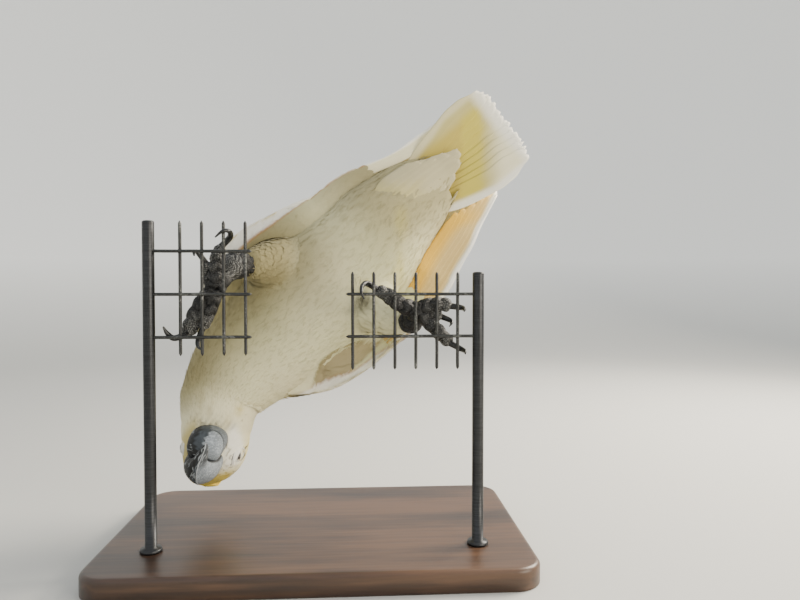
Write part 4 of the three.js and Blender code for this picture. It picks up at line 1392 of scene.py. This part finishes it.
def thighFeathers(side):
    # roots in rings down the thigh, where it stands clear of the body; the feathers turn from
    # the body's own flow to run down and just past the thigh's end
    path = np.array(legs[side]["thigh"], float)
    per, rings = thighCoat["around"], thighCoat["rows"]
    row = np.repeat(np.linspace(thighCoat["from"], thighCoat["to"][side], rings), per)
    turn = (np.tile(np.arange(per), rings) + random.random(len(row)) * 0.5
            + 0.5 * np.repeat(np.arange(rings) % 2, per)) * 2 * np.pi / per
    row = row + 0.03 * (random.random(len(row)) - 0.5)
    values, down = between(path, row), heading(path, row)
    beside = unit(np.array([0, 0, 1.0]) - down * down[:, 2:3])
    normal = beside * np.cos(turn)[:, None] + np.cross(down, beside) * np.sin(turn)[:, None]
    at = values[:, :3] + normal * values[:, 3:4]
    over = overBody(at, stationOf(at))
    clear = over > -0.5
    row, turn, down, normal, at, over = [value[clear] for value in (row, turn, down, normal, at, over)]
    share = smooth(1, 16, over)[:, None]
    way = down * share + bodyFrame(stationOf(at))[1] * (1 - share)
    way = unit(way - normal * dot(way, normal))
    length = thighCoat["length"][side] * (0.8 + 0.4 * random.random(len(row)))
    x, y, u, v = contourShape(len(row), length, length * 0.55, 5, 6, fray=0.16)
    across = np.cross(normal, way)[:, None, None]
    flat = at[:, None, None] + way[:, None, None] * y[..., None] + across * x[..., None]
    perRow = np.linalg.norm(between(path, row + 0.05)[:, :3] - between(path, row - 0.05)[:, :3],
                            axis=1) / 0.1
    reached = row[:, None, None] + y * (dot(way, down) / perRow[:, None])[:, None]
    base = settled(flat - 4.0 * normal[:, None, None], onGuide(flat))
    height = -1.5 * (1 - v) ** 1.5 + 0.2 * v * random.random((len(row), 1, 1)) - 0.1 * u ** 2
    # tips sink past the thigh's end
    height = height - thighCoat["sink"] * np.clip(reached - thighCoat["sinkFrom"], 0, 0.5)
    points, flip = raised(base, height, normal)
    tone = tones(bodyTone(points, np.full(points.shape[:-1], 6.5)), v)
    unwrapped = np.stack([(turn / (2 * np.pi)) % 1 * 0.2 + (0.75 if side == "left" else 0.5),
                          row / 2.2], -1)
    return vaneMesh(points, x, y, tone, unwrapped, flip)


coatPiece("coatThighs", [thighFeathers("left"), thighFeathers("right")], softFeathers, "plumage")
bpy.data.objects.remove(guide)


def makeDown():
    # short down that closes the coat between the roots of its feathers
    down = makeGuide(1.0)
    mesh = down.data
    points, outward = meshArrays(mesh)
    setPoints(mesh, points - outward * coat["downDepth"])
    station = stationOf(points)
    middle, _, dorsal, left, _ = bodyFrame(station)
    turn = np.arctan2(dot(points - middle, dorsal), dot(points - middle, left)).ravel()
    mark(mesh, {"vane": np.zeros(points.shape), "tone": bodyTone(points, station)})
    unwrap(mesh, bodyPatch(turn, station), cornerPoints(mesh))
    mesh.materials.clear()
    mesh.materials.append(softFeathers)
    mesh.shade_smooth()
    down.name = "coatDown"
    place(down, "plumage")
    print("coatDown", len(mesh.loops) - 2 * len(mesh.polygons), "triangles")


makeDown()


# wings

def coverts(side, rowsOf):
    # rows of coverts over the wing. Each row says where its roots lie along the wing, its
    # length and width in mm, how many, its depth under the surface and how yellow it is
    parts = []
    for at, length, width, count, low, high, depth, yellow, slope in rowsOf:
        a = low + (high - low) * (np.arange(count) + 0.5 + 0.2 * (random.random(count) - 0.5)) / count
        s = at + slope * (a - low) + 0.006 * (random.random(count) - 0.5)
        _, stepS, stepA, normal = wingFrame(side, s, a)
        lengths = length * (0.92 + 0.16 * random.random(count))
        x, y, u, v = contourShape(count, lengths, np.full(count, width), 5, 7, fray=0.07)
        sGrid = s[:, None, None] + y / np.linalg.norm(stepS, axis=-1)[:, None, None]
        aGrid = a[:, None, None] + x / np.linalg.norm(stepA, axis=-1)[:, None, None]
        base = wingSurface(side, sGrid, aGrid)
        height = depth * (v - 1) - 0.06 * width * u ** 2 + 0.3 * random.random((count, 1, 1))
        points, flip = raised(base, height, normal)
        tone = mixed(np.broadcast_to(colors["cream"], (count, 3)), "yellow", np.full(count, yellow))
        unwrapped = np.stack([0.05 + 0.9 * np.clip(a, 0, 1), np.clip(s, 0, 1)], -1)
        parts.append(vaneMesh(points, x, y, tones(tone, v), unwrapped, flip))
    return parts


def quillSheet(surface, roots, tips, widths, layer, thick, tone, outward, perA,
               rows=18, columns=9, fray=0.0, spread=lambda v: v ** 1.15, limits=None, relief=1.0):
    # long feathers over a surface, each from its root to its tip, with a raised shaft, webs
    # that slope away from it and a round tip; a closed thin sheet. roots and tips are each a
    # pair of s and a. tone(s, a, u, v, under) gives the colour, and perA turns mm across into
    # the surface's own measure
    count = len(roots[1])
    v, u = np.linspace(0, 1, rows)[None, :, None], np.linspace(-1, 1, columns)[None, None, :]
    s0, a0, s1, a1, layer, widths = [np.asarray(value, float)[..., None, None]
                                     for value in (*roots, *tips, layer, widths)]
    blunt = 0.05 * u ** 2 * smooth(0.7, 1.0, v)
    blunt = blunt + fray * (random.random((count, 1, columns)) - 0.5) * v ** 8
    s = s0 + (s1 - s0) * (v - blunt)
    a = a0 + (a1 - a0) * spread(v) + 0 * u
    taper = 0.25 + 0.75 * np.sin(0.5 * np.pi * np.minimum(v * 2.5, 1))
    x = 0.5 * widths * u * (taper * (1 - 0.35 * smooth(0.8, 1.0, v) * np.abs(u)))
    across = a + x * perA(s + 0 * u, a)
    if limits:
        across = np.clip(across, limits[0] + 0.004 * u, limits[1] + 0.004 * u)
    s = s + 0 * across
    normal = unit(np.cross(*steps(surface, s, across))) * outward
    shaft = 0.25 * np.exp(-(u * 7) ** 2)
    height = layer * smooth(0, 0.35, v) + relief * (shaft - 0.4 * u ** 2)
    base = surface(s, across)
    top = base + normal * (height + 0.5 * thick)[..., None]
    bottom = base + normal * (height - 0.5 * thick * (1 - np.abs(u) * 0.6) - shaft)[..., None]
    length = np.linalg.norm(np.diff(top[:, :, columns // 2], axis=1), axis=-1).sum(-1)[:, None, None]
    y = v * length + 0 * u
    faces = sheetFaces(rows, columns)
    sign = (np.cross(top[0, 2, 3] - top[0, 1, 3], top[0, 1, 4] - top[0, 1, 3]) * normal[0, 1, 3]).sum()
    faces = faces if sign < 0 else faces[:, ::-1]
    every = (faces[None] + (np.arange(count) * 2 * rows * columns)[:, None, None]).reshape(-1, 4)
    shade = 1 + plumage["bloom"] * (2 * random.random((count, 1, 1, 1)) - 1)
    both = np.stack([tone(s, across, u + 0 * y, v + 0 * y, under) * shade for under in (0, 1)], 1)
    vane = np.stack([x, y, 0 * y], -1)
    rootA = np.asarray(roots[1], float)
    spots = np.stack([0.05 + 0.9 * (rootA - rootA.min()) / (rootA.max() - rootA.min()),
                      0.1 + 0.8 * np.arange(count) / count], -1)
    patch = spots[:, None, None, None] + patchSpots(rows, columns)[None, None]
    patch = np.clip(np.repeat(patch, 2, axis=1), 0.001, 0.999)
    points, vanes = np.stack([top, bottom], 1), np.stack([vane, vane], 1)
    return [points.reshape(-1, 3), every, vanes.reshape(-1, 3), both.reshape(-1, 3),
            patch.reshape(-1, 2)]


# the underside between the body and the low edge of each wing: flank feathers from the body,
# the bare lining, the soft edge of the wing and the long feathers under it
lining = {
    # how far out the bare lining reaches
    "bare": [(0.2, 0.8), (0.34, 0.8), (0.42, 0.62), (0.5, 0.45)],
    "left": {
        # where it leaves the body, along the wing
        "turn": [(0, -0.45), (0.5, -0.45), (0.7, -0.15), (1, -0.1)],
        "swell": [(0, 2.5), (0.5, 2.5), (0.7, 0.5), (1, 0)],  # mm towards the belly
        "above": [(0, -1), (1, -1)],  # mm over the body where it leaves it
        # inner side of the soft edge
        "edge": [(0, 0.95), (0.12, 0.78), (0.3, 0.60), (0.45, 0.66), (0.60, 0.92), (1, 1)],
        # how far the flank reaches
        "flank": [(0, 0.93), (0.12, 0.76), (0.3, 0.57), (0.45, 0.63), (0.60, 0.85), (1, 0.9)],
    },
    "right": {
        "turn": [(0, 0.35), (0.2, 0.45), (0.3, 0.7), (0.38, 0.6), (0.46, 0.25), (0.52, 0.1), (0.6, 0.3),
                 (0.7, 0.15), (1, -0.1)],
        "swell": [(0, 2.5), (0.16, 2.5), (0.27, -4), (0.45, -4), (0.55, -1.5), (1, -0.5)],
        "edge": [(0, 0.92), (0.1, 0.75), (0.16, 0.6), (0.22, 0.5), (0.29, 0.66), (0.36, 0.82),
                 (0.43, 0.8), (0.49, 1.0),
                 (0.6, 0.85), (0.75, 0.9), (1, 0.95)],
        "flank": [(0, 0.88), (0.1, 0.7), (0.16, 0.52), (0.22, 0.3), (0.26, 0.1), (0.33, -0.05),
                  (0.42, -0.05), (0.47, 0.75),
                  (0.5, 0.95), (0.56, 0.5), (0.62, 0), (1, 0)],
        "above": [(0, -1), (0.5, -1), (0.57, 1.4), (0.75, 1.4), (0.85, -0.5), (1, -1)],
    },
}


def along(side, key, s):
    return readAt(lining[side][key], s)


def liningSurface(side, s, a):
    # from the body (a is 0) to the low edge of the wing (1), swelling between the two
    station, turn = wingRow(side, np.clip(s, 0, 1))[..., 0], along(side, "turn", s)
    near = bodySurface(station, turn if side == "left" else np.pi + turn, along(side, "above", s))
    far = wingSurface(side, s, 0 * s)
    swell = along(side, "swell", s) * np.sin(np.pi * np.clip(a, 0, 1))
    return near + (far - near) * a[..., None] - bodyFrame(station)[2] * swell[..., None]


def liningTone(side, s, a, points):
    # body colour on the flank; on the right olive and beige over the bare lining as painted shade of
    # the recess under the wing, and green on the flank towards the wing's tip; a white edge as painted
    # highlight, with a brown line of painted shadow along it
    edge, flank = along(side, "edge", s), along(side, "flank", s)
    tone = bodyTone(points, wingRow(side, np.clip(s, 0, 1))[..., 0])
    if side == "right":
        # painted shade: olive and beige over the bare lining in the recess under the wing
        bare = smooth(0.0, 0.06, a - flank) * smooth(0.19, 0.26, s) * smooth(0.54, 0.49, s)
        bare = bare * smooth(0.06, 0.0, a - readAt(lining["bare"], s))
        tone = mixed(tone, "olive", bare)
        tone = mixed(tone, "beige", bare * smooth(0.02, 0.2, a - flank))
        tone = mixed(tone, "green", 0.7 * smooth(0.48, 0.55, s) * (a < flank + 0.05))
    # painted shadow: a brown line along the inner side of the wing's soft edge
    creaseShadow = np.exp(-((a - edge) / 0.035) ** 2) * smooth(0.05, 0.2, s) * (0.75 if side == "left" else 0.5)
    # painted highlight: white over the wing's soft low edge
    tone = mixed(tone, "white", smooth(-0.02, 0.03, a - edge) * 0.85)
    return mixed(tone, "creaseShadow", creaseShadow)


def liningCoat(side, start, end, low, high, length, width, above, slant=0.0):
    # rows of soft feathers over the lining from one share across to another, told along the
    # wing as keys of the lining's own table or as numbers
    def share(key, s):
        return along(side, key, s) if isinstance(key, str) else key + 0 * s

    def surface(s, a):
        return liningSurface(side, s, a)

    found, s, odd = [], start, 0
    while s < end:
        one = np.full(9, s)
        a = np.linspace(float(share(low, np.array(s))), float(share(high, np.array(s))), 9)
        around = np.linalg.norm(np.diff(surface(one, a), axis=0), axis=-1).sum()
        count = max(2, int(round(around / (0.42 * width))))
        at = a[0] + (a[-1] - a[0]) * (np.arange(count) + 0.5 * odd + 0.3 * random.random(count)) / count
        found.append(np.stack([np.full(count, s), at], -1))
        s += 0.22 * length / np.linalg.norm(steps(surface, one[:1], a[4:5])[0])
        odd = 1 - odd
    s, a = np.concatenate(found).T
    s = s + 0.01 * (random.random(len(s)) - 0.5)
    x, y, u, v = contourShape(len(s), length * (0.85 + 0.3 * random.random(len(s))),
                              np.full(len(s), width), 6, 6, fray=0.10)
    perS, perA = [np.linalg.norm(step, axis=-1)[:, None, None] for step in steps(surface, s, a)]
    sGrid = s[:, None, None] + y / perS
    aGrid = np.minimum(a[:, None, None] + (x + slant * y) / np.maximum(perA, 6), 1.0 + 0.01 * u)
    base = surface(sGrid, aGrid)
    height = above + 1.3 * (v - 1) - 0.04 * width * u ** 2 + 0.15 * random.random((len(s), 1, 1)) * v
    points, flip = raised(base, height, -bodyFrame(stationOf(base[:, 2, 2]))[2])
    tone = tones(liningTone(side, sGrid, aGrid, base), v, 0.05)
    unwrapped = np.stack([0.05 + 0.9 * np.clip(a, 0, 1), 0.05 + 0.9 * np.clip(s, 0, 1)], -1)
    return vaneMesh(points, x, y, tone, unwrapped, flip)


underQuills = {
    # root and tip of each long feather under the wing, as shares along and across the lining
    "right": [(0.47, 0.05, 0.82, 0.26, 12), (0.46, 0.18, 0.86, 0.42, 12), (0.46, 0.32, 0.905, 0.58, 11),
              (0.46, 0.46, 0.945, 0.72, 10), (0.46, 0.60, 0.975, 0.83, 9), (0.46, 0.75, 1.0, 0.92, 8),
              (0.46, 0.90, 0.99, 0.98, 6)],
    "left": [(0.50, 0.55, 0.86, 0.55, 8), (0.50, 0.72, 0.93, 0.75, 7), (0.50, 0.90, 1.0, 0.93, 6)],
}


def underwing(side):
    # the undersides of the long feathers: on the right orange by the body, then buff, with a
    # white outer rim; on the left cream
    rootS, rootA, tipS, tipA, widths = np.array(underQuills[side]).T

    def surface(s, a):
        return liningSurface(side, s, a)

    def tone(s, a, u, v, under):
        whole = np.broadcast_to(colors["cream"], (*a.shape, 3))
        if side == "right":
            share = a - 0.9 * smooth(0.72, 1.0, s)
            whole = mixed(whole, "buff", 0.95 * smooth(1.0, 0.8, a))
            whole = mixed(whole, "deepYellow", 0.95 * smooth(0.50, 0.15, share) * smooth(0.95, 0.80, s))
        return mixed(whole, "white", smooth(0.84, 0.95, a + 0.02 * np.sin(s * 40)))

    def perA(s, a):
        return 1 / np.maximum(np.linalg.norm(steps(surface, s, a)[1], axis=-1), 6.25)

    outward = -facing(surface, 0.6, 0.5, bodyFrame(wingRow(side, np.array([0.6]))[..., 0])[2])
    return quillSheet(surface, (rootS, rootA), (tipS, tipA), widths,
                      0.25 * np.arange(len(rootS)) - 0.3, 0.35, tone, outward, perA, rows=24,
                      limits=(-0.05, 1.0))


for side, slant in (("left", 0.08), ("right", -0.02)):
    first = 0.03 if side == "left" else 0.11
    flank = [liningCoat(side, first, 0.62, "edge", 1.0, 15, 7, 0.0),
             liningCoat(side, first, 0.66 if side == "left" else 0.54, -0.15, "flank", 13, 6.5, 1.4,
                        slant)]
    if side == "right":
        flank.insert(0, liningCoat(side, 0.16, 0.56, "flank", "edge", 18, 9, -0.8))
    coatPiece(f"coatFlank.{side}", flank, softFeathers, "plumage")
    coatPiece(f"underwing.{side}", [underwing(side)], stiffFeathers, "plumage")


flight = {
    "feathers": 20, "layer": 0.15, "thick": 0.45,
    # the number of a feather from the low edge, and its value
    "rootS": [(0, 0.42), (9, 0.36), (19, 0.22)],
    "rootA": [(0, 0.06), (9, 0.30), (19, 0.92)],
    "tipS": [(0, 0.95), (1, 0.985), (3, 1.0), (5, 0.99), (9, 0.93), (10, 0.90), (14, 0.82), (19, 0.74)],
    "tipA": [(0, 0.08), (4, 0.35), (9, 0.60), (14, 0.78), (19, 0.95)],
    "width": [(0, 12), (3, 15), (9, 20), (19, 24)],
}


def flightFeathers(side):
    # from the outermost primary by the low edge to the innermost secondary by the back
    surface, outward = wingSide(side)
    k = np.arange(flight["feathers"])
    rootS, rootA, tipS, tipA, widths = [readAt(flight[key], k)
                                        for key in ("rootS", "rootA", "tipS", "tipA", "width")]

    def tone(s, a, u, v, under):
        # painted highlight: whiter along the wing's low edge
        whole = mixed(np.broadcast_to(colors["cream"], (*u.shape, 3)), "white", smooth(0.1, 0.02, a))
        return mixed(whole, "buff", 0.2 * smooth(0.1, 0.6, np.abs(u)))

    def perA(s, a):
        return 1 / np.maximum(np.linalg.norm(steps(surface, s, a)[1], axis=-1), 8)

    return quillSheet(surface, (rootS, rootA), (tipS, tipA), widths, (k - 8) * flight["layer"],
                      flight["thick"], tone, outward, perA, limits=(0.0, 1.0))


coverRows = [
    # lesser coverts in small rows, then median, then greater
    *[(0.005 + 0.024 * i, 9.5 + 0.9 * i, 7.0 + 0.4 * i, 17 + int(0.7 * i), 0.02, 0.98, 2.2, 0.15, 0.0)
      for i in range(10)],
    (0.25, 24, 13, 19, 0.02, 0.96, 2.0, 0.12, 0.0),
    (0.295, 24, 13, 19, 0.03, 0.97, 1.9, 0.12, -0.01),
    (0.345, 30, 14, 19, 0.04, 0.96, 1.8, 0.10, -0.02),
    (0.395, 36, 15, 18, 0.04, 0.94, 1.5, 0.10, -0.04),
]
for side in ("left", "right"):
    coatPiece(f"coatWing.{side}", coverts(side, coverRows), stiffFeathers, "plumage", f"wing_{side}")
    coatPiece(f"flightFeathers.{side}", [flightFeathers(side)], stiffFeathers, "plumage",
              f"flight_{side}")
print("wings ready")


# tail

tail = {"feathers": 12, "start": 9.7, "root": 12.0, "end": 33.5, "width": 17.5, "arch": 5.0,
        "round": 0.09, "layer": 0.16}


def tailSurface(s, a):
    # s is a station and a is mm to the side; arched across like a shallow roof
    middle, _, dorsal, left, _ = bodyFrame(s)
    share = np.clip((s - 9.55) / 2.6, 0, 1)
    arch = tail["arch"] * (0.5 - (a / tail["end"]) ** 2) * (1 - 0.5 * share)
    return middle + left * a[..., None] + dorsal * arch[..., None]


def tailTone(s, a, u, v, under):
    # cream above; below tan by the left edge, ochre next to the soft feathers, greenish yellow
    # in a slanting band and cream beyond it, with a white tip and white outer edges, whiter along the
    # right edge as a painted highlight
    whole = np.broadcast_to(colors["cream"], (*u.shape, 3))
    outline = 12 + 20.5 * tailSpread(np.clip((s - 9.55) / 2.4, 0, 1))
    past = s - (10.96 + 0.0215 * a) + 0.02 * np.sin(a * 0.6)
    strength = 0.3 + 0.7 * under
    band = smooth(-0.1, 0.06, past) * smooth(0.62, 0.4, past) * smooth(27, 19, a)
    whole = mixed(whole, "tan", strength * 0.9 * smooth(1.1, 0.5, past))
    whole = mixed(whole, "ochre", strength * 0.8 * smooth(26, 18, a) * smooth(0.14, -0.04, past))
    whole = mixed(whole, "wedge", strength * 0.95 * band)
    # the right edge (a below 0) whiter than the left, a painted highlight
    edge = smooth(5.0, 1.0, outline - np.abs(a)) * (0.35 + 0.65 * (a < 0))
    return mixed(whole, "white", np.maximum(0.85 * smooth(11.72, 11.98, s), 0.8 * edge))


def tailSpread(v):
    return np.minimum(1, 1.5 * v) ** 0.8


def sameMeasure(s, a):
    # where a surface is measured in mm across already
    return 1.0 + 0 * a


def makeTail():
    k = np.arange(tail["feathers"])
    side = 2 * (k + 0.5) / tail["feathers"] - 1
    tips = lastStation + tail["round"] * (1 - side ** 2) - tail["round"] * side ** 8
    tips = tips + 0.01 + 0.09 * smooth(0.1, 0.9, side)
    reach = (tail["end"] - tail["width"] * 0.44) / (1 - 1 / tail["feathers"])
    outward = facing(tailSurface, 11.0, 0.0, bodyFrame(np.array([11.0]))[2])
    layer = (0.55 - np.abs(side)) * tail["layer"] * tail["feathers"] / 2
    sheet = quillSheet(tailSurface, (np.full(len(k), tail["start"]), side * tail["root"]),
                       (tips, side * reach), np.full(len(k), tail["width"]), layer, 0.4, tailTone,
                       outward, sameMeasure, rows=30, columns=13, fray=0.03, spread=tailSpread,
                       relief=0.4)
    coatPiece("tailFeathers", [sheet], stiffFeathers, "plumage", "tail")


# soft feathers under the root of the tail, in a tongue a little left of the middle
tongue = {
    # station, mm below the axis
    "depth": [(9.0, 24), (9.5, 21.5), (10, 16), (10.5, 9), (11, 4.5), (11.3, 3.4)],
    "half": [(9.0, 34), (10, 24), (10.5, 19), (11, 16), (11.3, 14)],
    "left": 4.0,
    # root station, root, tip station, tip (mm to the side), width
    "feathers": [(9.1, -17, 10.05, -13, 13), (9.1, 19, 10.25, 15, 13), (9.2, -12, 10.35, -8, 13),
                 (9.2, 14, 10.5, 11, 13),
                 (9.3, -7, 10.62, -4.5, 13), (9.3, 10, 10.75, 8, 13), (9.5, 4, 10.97, 5.5, 12),
                 (9.4, -1, 10.85, 0.5, 12)],
}


def tongueSurface(s, a):
    # a shallow trough below the axis, curving up to its sides
    middle, _, dorsal, left, _ = bodyFrame(s)
    depth, half = readAt(tongue["depth"], s), readAt(tongue["half"], s)
    rise = 0.5 * depth * (np.clip(np.abs(a - tongue["left"]) / half, 0, 1.4) ** 2)
    return middle + left * a[..., None] - dorsal * (depth - rise)[..., None]


def makeTongue():
    rootS, rootA, tipS, tipA, widths = np.array(tongue["feathers"], float).T
    outward = -facing(tongueSurface, 10.0, 0.0, bodyFrame(np.array([10.0]))[2])

    def tone(s, a, u, v, under):
        # painted shade: the soft feathers under the tail mixed two thirds towards the dark grey, a
        # little yellow by their roots
        whole = mixed(np.broadcast_to(colors["cream"], (*u.shape, 3)), "grey", np.full(u.shape, 0.66))
        return mixed(whole, "wedge", 0.25 * smooth(0.5, 0.1, v))

    sheet = quillSheet(tongueSurface, (rootS, rootA), (tipS, tipA), widths,
                       0.12 * np.arange(len(rootS)) - 0.5, 0.3, tone, outward, sameMeasure, rows=20,
                       columns=11, fray=0.03, spread=lambda v: v)
    coatPiece("coatUnderTail", [sheet], softFeathers, "plumage")


makeTail()
makeTongue()


# crest

crest = {
    # (forward, crown)
    "path": [[15, 15], [2, 23.5], [-14, 23], [-28, 17.5], [-41, 15], [-53, 17], [-63, 24]],
    # side at the root, side at the tip, share of the longest, width in mm
    "feathers": [[-5.4, -9, 0.70, 6.5], [3.4, 5.6, 0.82, 6.5], [-4, -7, 0.86, 7], [2, 3.4, 0.74, 7],
                 [-2.6, -4.5, 0.93, 7.5], [0.6, 1.2, 0.96, 7.5], [-1, -1, 1.0, 8]],
}


def makeCrest():
    # narrow recurved feathers laid back over the crown, each a closed sheet along the path
    rows, columns = 40, 9
    v, u = np.meshgrid(np.linspace(0, 1, rows), np.linspace(-1, 1, columns), indexing="ij")
    parts = []
    for i, (root, tip, share, width) in enumerate(crest["feathers"]):
        reached = v * share * (len(crest["path"]) - 1)
        forward, crown = np.moveaxis(between(crest["path"], reached), -1, 0)
        lift = 0.25 * i - 0.6
        bulge = 0.35 + 0.65 * np.sin(np.pi * np.minimum(1, 0.22 + 0.74 * v))
        half = 0.5 * width * bulge * (1 - 0.25 * v)
        side = root + (tip - root) * v + half * u * (1 - 0.9 * smooth(0.93, 1.0, v))
        cup = -0.9 * (u ** 2) * np.sin(np.pi * v) ** 0.5 + 0.3 * np.exp(-(u * 6) ** 2)
        layers = [headPoint(forward, crown + lift + cup + thick, side) for thick in (0.3, -0.3)]
        points = np.concatenate([layer.reshape(-1, 3) for layer in layers])
        faces = turnedOut(points, [sheetFaces(rows, columns)])[0]
        tone = mixed(np.broadcast_to(colors["yellow"], (rows, columns, 3)), "deepYellow",
                     0.15 * (1 - v))
        gaps = np.hypot(np.diff(forward, axis=0), np.diff(crown, axis=0))
        length = np.concatenate([np.zeros((1, columns)), np.cumsum(gaps, axis=0)])
        vane = np.stack([half * u, length, 0 * u], -1)
        patch = np.stack([0.3 + 0.05 * i + 0.0015 * u, 0.05 + 0.0015 * v], -1)
        vane, tone, patch = [np.concatenate([value.reshape(-1, value.shape[-1])] * 2)
                             for value in (vane, tone, patch)]
        parts.append([points, faces, vane, tone, patch])
    coatPiece("crestFeathers", parts, stiffFeathers, "crest_feathers", "crest")


makeCrest()
print("tail and crest ready")


# the perch: two cut squares of weld mesh

perch = {
    "across": 12.7,  # half-inch pitch of the upright wires
    "up": 25.4,  # one-inch pitch of the level wires
    "shift": (-3.0, 3.6),
    "radius": 0.98,
    "layer": 0.8,
    "left": {"uprights": (-10, -7), "levels": (-1, 1), "bottom": -33, "top": 47, "rod": -148},
    "right": {"uprights": (-2, 3), "levels": (-1, 0), "bottom": -42, "top": 17, "rod": 47.5},
}
stand = {"width": 260, "depth": 156, "height": 13, "edge": 3, "corner": 14}


def wireMaterial():
    # galvanised steel wire under old dark paint: paint worn through to zinc on its high side
    material, tree, surface = newMaterial("paintedGalvanisedWire", Roughness=0.45)
    broad = math2(tree, "MULTIPLY", noise(tree, 90.0, 4.0), 0.6)
    worn = math2(tree, "MULTIPLY_ADD", noise(tree, 900.0, 5.0), 0.5, broad)
    stops = [(0.5, "#1D1E1D"), (0.60, "#2C2D2B"), (0.68, "#70716E")]
    feed(tree, surface, Base_Color=ramp(tree, worn, stops), Metallic=mapped(tree, worn, 0.6, 0.68))
    bump(tree, surface, worn, 0.00025, 0.7)
    return material


def makePerch(side, material):
    # wires as domed tubes, with a small squeezed bead of weld where two of them cross
    spec = perch[side]
    xs = perch["shift"][0] + perch["across"] * np.arange(spec["uprights"][0], spec["uprights"][1] + 1)
    zs = perch["shift"][1] + perch["up"] * np.arange(spec["levels"][0], spec["levels"][1] + 1)
    # level wires run from just past the last upright to the far side of the rod
    leftwards = spec["rod"] < xs[0]
    inner = xs[-1] + 4 if leftwards else xs[0] - 4
    outer = spec["rod"] + (2.1 if leftwards else -2.1)
    radius, layer = perch["radius"], perch["layer"]
    ends = [([x, layer, spec["bottom"]], [x, layer, spec["top"]]) for x in xs]
    ends += [([inner, -layer, z], [outer, -layer, z]) for z in zs]
    shapes = []
    for low, high in ends:
        way = np.array(high) - low
        path = np.array([[*(np.array(low) + way * t), radius] for t in np.linspace(0, 1, 9)])
        path[1:-1, :3] += 0.12 * (random.random((7, 3)) - 0.5)
        shapes.append(tubeShape(path, 60, 18, dome=1.8 * radius / np.linalg.norm(way)))
    tilt, turn = np.linspace(0.1, np.pi - 0.1, 12)[:, None], circle(16)[None]
    for x in xs:
        for z in zs:
            shapes.append(closedTube(np.stack([
                x + 1.35 * np.sin(tilt) * np.cos(turn), 1.15 * np.cos(tilt) + 0 * turn,
                z + 1.35 * np.sin(tilt) * np.sin(turn)], -1)))
    place(newPiece(f"weldMesh.{side}", *joinShapes(*shapes), material), "mesh_wire",
          f"perch_mesh_{side}")


def rodMaterial():
    # turned mild steel, blackened: fine rings of the lathe and a low sheen
    material, tree, surface = newMaterial("blackenedSteel", Metallic=0.85, Roughness=0.36)
    rings = noise(tree, 260.0, 2.0, (0.4, 0.4, 6.0))
    feed(tree, surface, Base_Color=ramp(tree, rings, [(0.35, "#333435"), (0.65, "#3D3E40")]))
    bump(tree, surface, rings, 0.00002, 0.3)
    return material


def woodMaterial():
    # walnut board, dark stained and waxed: long grain along the board, pores drawn 0.8 mm wide
    material, tree, surface = newMaterial("stainedWalnut", Roughness=0.42, Coat_Weight=0.25,
                                          Coat_Roughness=0.3)
    broad = noise(tree, 16.0, 5.0, (0.35, 2.2, 2.2))
    fine = noise(tree, 300.0, 3.0, (0.06, 1.0, 1.0))
    grain = math2(tree, "MULTIPLY_ADD", fine, 0.35, math2(tree, "MULTIPLY", broad, 0.7))
    stops = [(0.38, "#24170E"), (0.5, "#3C281A"), (0.62, "#553B27")]
    feed(tree, surface, Base_Color=ramp(tree, grain, stops))
    bump(tree, surface, fine, 0.0002, 0.4)
    return material


def makeStand():
    steel = rodMaterial()
    x0, y0, z0 = -wireOrigin
    turn = circle(56)
    for side in ("left", "right"):
        rod, top = perch[side]["rod"], perch[side]["top"] - z0
        # profile up the rod: a foot ring on the base, the straight rod and a domed top
        height = np.array([0, 0, 1.2, 2.2, 2.6, 40, 120, top - 14.2, top - 13.6, top - 13.15,
                           top - 13.02])
        radius = np.array([3.5, 6.5, 6.5, 6.0, 3.5, 3.5, 3.5, 3.5, 3.3, 2.5, 1.2])
        rings = np.stack([rod + radius[:, None] * np.cos(turn), radius[:, None] * np.sin(turn),
                          z0 + stand["height"] + height[:, None] + 0 * turn], -1)
        place(newPiece(f"standRod.{side}", *closedTube(rings), steel), "rod_steel", f"stand_rod_{side}")
    # a board: a rounded profile carried round a rectangle with round corners
    wide, deep, corner = stand["width"] / 2, stand["depth"] / 2, stand["corner"] + stand["edge"]
    bend = np.linspace(0, 0.5 * np.pi, 13)
    outline, out = [], []
    for i, (cx, cy) in enumerate(((1, 1), (-1, 1), (-1, -1), (1, -1))):
        way = np.stack([np.cos(bend + i * np.pi / 2), np.sin(bend + i * np.pi / 2)], -1)
        outline.append(np.array([cx * (wide - corner), cy * (deep - corner)]) + 0 * way)
        out.append(way)
    outline, out = np.concatenate(outline), np.concatenate(out)
    curve = np.linspace(0, 0.5 * np.pi, 9)
    inset = np.concatenate([[0.6, 0.0], stand["edge"] * (1 - np.cos(curve))])
    height = np.concatenate([[0, 0.6], stand["height"] - stand["edge"] * (1 - np.sin(curve))])
    flat = outline[None] + out[None] * (corner - inset)[:, None, None]
    rings = np.concatenate([flat, (height[:, None] + np.zeros(len(out)))[..., None]], -1) - wireOrigin
    inner = rings[-1:] * [0.97, 0.97, 1] + [x0 * 0.03, y0 * 0.03, 0]
    board = newPiece("standBase", *closedTube(np.concatenate([rings, inner])), woodMaterial())
    place(board, "base_wood", "stand_base")


wireCoat = wireMaterial()
makePerch("left", wireCoat)
makePerch("right", wireCoat)
makeStand()
print("perch and stand ready")
